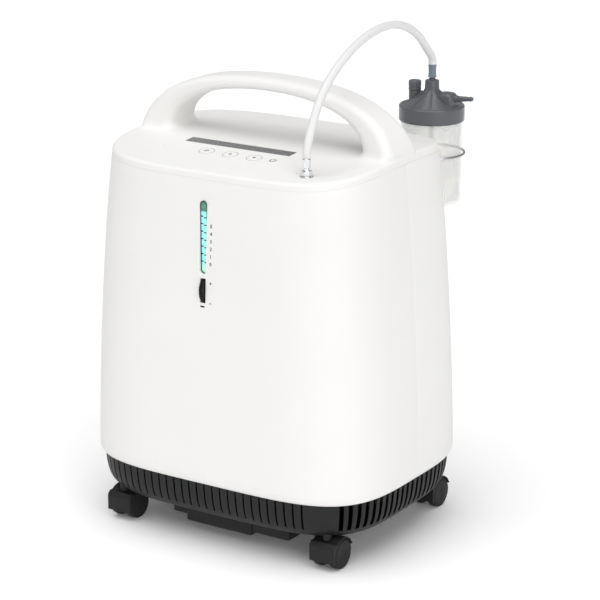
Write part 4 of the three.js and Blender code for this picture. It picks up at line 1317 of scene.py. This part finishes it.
def make_hood(corner, x, y, z):
    """Twin-wheel hood: a front block with a flat shoulder, a curved back and a web between the wheels."""
    outline = [(-22, 11.5, 1.5), (-22, 31, 4.0), (-17.6, 35.5, 2.0), (-12.2, 35.5, 0)]
    outline = fillet(outline + [(-12.1, 35.4, 0), (-12, 11.5, 0)], 1, 4)[:-2]
    for angle in map(radians, range(122, 14, -6)):
        outline.append((HOOD.radius * cos(angle), WHEEL.radius + HOOD.radius * sin(angle)))
    outline += [(9.4, 24.2), (9.0, 23.4), (9.0, 11.5)]
    section = [(y + v, z - WHEEL.radius + w) for v, w in outline]
    body = Form().prism(section, x - HOOD.half_width, x + HOOD.half_width, 0.9, "x", 4)
    wells = [Form().rod(HOOD.well, side * HOOD.web, side * 30.0, (x, y, z), "x", 96) for side in (-1, 1)]
    end = HOOD.axle_half
    axle = Form().turn([(0.01, -end), (HOOD.axle, -end), (HOOD.axle, end), (0.01, end)], (x, y, z), "x", 24)
    swivel = (x, y - WHEEL.trail, z)
    socket = Form().rod(HOOD.socket, 16.4, 40, swivel, steps=40)
    pin_room = Form().rod(HOOD.pin, 4, 40, swivel, steps=32)
    body.piece(
        "caster_cover_" + corner, "black", body="swivel_" + corner, replaces=f"caster_{corner}_hood",
        cut=(*wells, socket, pin_room))
    axle.piece("caster_axle_" + corner, "steel", body="swivel_" + corner)


def make_wheel(corner, hand, x, y, z):
    """A wheel with a rounded tread, a rim groove and a slightly domed disc on its outer side."""
    side = 1 if hand == "right" else -1
    half, radius = WHEEL.width / 2, WHEEL.radius
    profile = fillet([
        (WHEEL.bore, -half), (15.0, -half), (16.5, -half + 0.2), (radius - 0.25, -half + 1.6, 1.2),
        (radius, 0.0, 4.0), (radius - 0.3, half - 1.9, 1.2), (radius - 1.3, half - 0.25, 0.5),
        (16.4, half - 0.1, 0.2), (16.2, half - 0.9, 0.1), (15.8, half - 0.9, 0.1), (15.6, half - 0.1, 0.3),
        (9.0, half - 0.02, 2.0), (4.6, half, 0.5), (4.3, half - 0.35, 0.1), (3.9, half - 0.35, 0.1),
        (3.6, half - 0.05, 0.3), (0.01, half - 0.02)], 0.3, 3, closed=False)
    profile += [(0.01, half - 1.4), (WHEEL.bore, half - 1.4), profile[0]]
    Form().turn([(r, side * h) for r, h in profile], (x, y, z), "x", 80).piece(
        f"caster_tyre_{corner}_{hand}", "tyre", body=f"wheel_{corner}_{hand}",
        replaces=f"caster_{corner}_wheel_{hand}")


def make_stem(corner):
    """The swivel's stem: a pin below a wider top that starts at the shoulder."""
    low, high = node_box(f"caster_{corner}_stem")
    x, y, _ = (low + high) / 2
    foot, top, shoulder = low[2], high[2], 35.8
    profile = fillet([
        (0.01, foot), (2.7, foot), (3.0, foot + 0.5), (3.0, shoulder), (5.2, shoulder),
        (5.5, shoulder + 0.3), (5.5, top - 0.3), (5.2, top), (0.01, top)], 0.2, 2, closed=False)
    Form().turn(profile, (x, y - AXIS_Y, 0), steps=40).piece(
        "caster_stem_" + corner, "black", replaces=f"caster_{corner}_stem")


def make_casters():
    for corner in ("front_left", "front_right", "rear_left", "rear_right"):
        make_stem(corner)
        middles = []
        for hand in ("left", "right"):
            low, high = node_box(f"caster_{corner}_wheel_{hand}")
            middles.append((low + high) / 2 - np.array((0, AXIS_Y, 0)))
            make_wheel(corner, hand, *middles[-1])
        make_hood(corner, *sum(middles) / 2)


# ---------------------------------------------------------------- pieces kept from the CAD
KEPT = {
    "aluminium": (
        "flow_valve", "compressor_body", "cylinder_head_left", "cylinder_head_right", "sieve_bed_left",
        "sieve_bed_right", "oxygen_tank", "valve_manifold"),
    "rubber": ("isolator_front_left", "isolator_front_right", "isolator_rear_left", "isolator_rear_right"),
    "black": ("fan_frame",),
    "gloss_black": ("fan_rotor",),
    "board": ("control_board",),
}


def dress_kept():
    for look, names in KEPT.items():
        for name in names:
            dress(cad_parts[name], look)


# ---------------------------------------------------------------- floor and light
FLOOR_HALF = 6000.0
FLOOR_GLOW = 0.05


def make_floor():
    corners = [(x * FLOOR_HALF, y * FLOOR_HALF, 0) for x, y in ((-1, -1), (1, -1), (1, 1), (-1, 1))]
    floor = add_object("floor", Form().add(corners, [(0, 1, 2, 3)]).mesh("floor"))
    shader = M["floor"].node_tree.nodes["Principled BSDF"]
    set_inputs(shader, Emission_Color=(1.0, 1.0, 1.0, 1.0), Emission_Strength=FLOOR_GLOW)
    floor.data.materials.append(M["floor"])


def sun_light(name, azimuth, elevation, angle, strength):
    """A soft light from far away; strength 1 lights a facing surface as much as white surroundings do."""
    data = bpy.data.lights.new(name, "SUN")
    data.angle = radians(angle)
    data.energy = strength * pi
    light = add_object(name, data)
    back = toward(azimuth, elevation)
    light.location = back * 3
    light.rotation_euler = back.to_track_quat("Z", "Y").to_euler()


def make_world(left, right):
    """White surroundings, dimmer on the right, where the key light is."""
    world = bpy.data.worlds.new("studio")
    world.use_nodes = True
    tree = Tree(world.node_tree)
    background = tree.nodes["Background"]
    set_inputs(background, Color=(1.0, 1.0, 1.0, 1.0))
    strength = tree.along("X", -0.9, 0.5, left, right, "Generated", "SMOOTHSTEP")
    tree.links.new(strength, background.inputs["Strength"])
    bpy.context.scene.world = world


for make in (
        make_shells, make_filter_door, make_foam, make_top_cover, make_handle, make_display, make_buttons,
        make_front_print, make_flow_tube, make_flow_ticks, make_flow_gasket, make_float, make_flow_knob,
        make_outlet, make_pins, make_lid, make_relief_cap, make_jar, make_diffuser, make_bracket,
        make_inlet, make_breaker, make_skirt, make_tray, make_duct, make_casters, dress_kept, make_floor):
    make()
make_world(0.42, 0.3)
sun_light("key", 55, 14, 45, 0.34)
sun_light("top", 14, 74, 70, 0.66)
bpy.context.scene.view_settings.view_transform = "Standard"
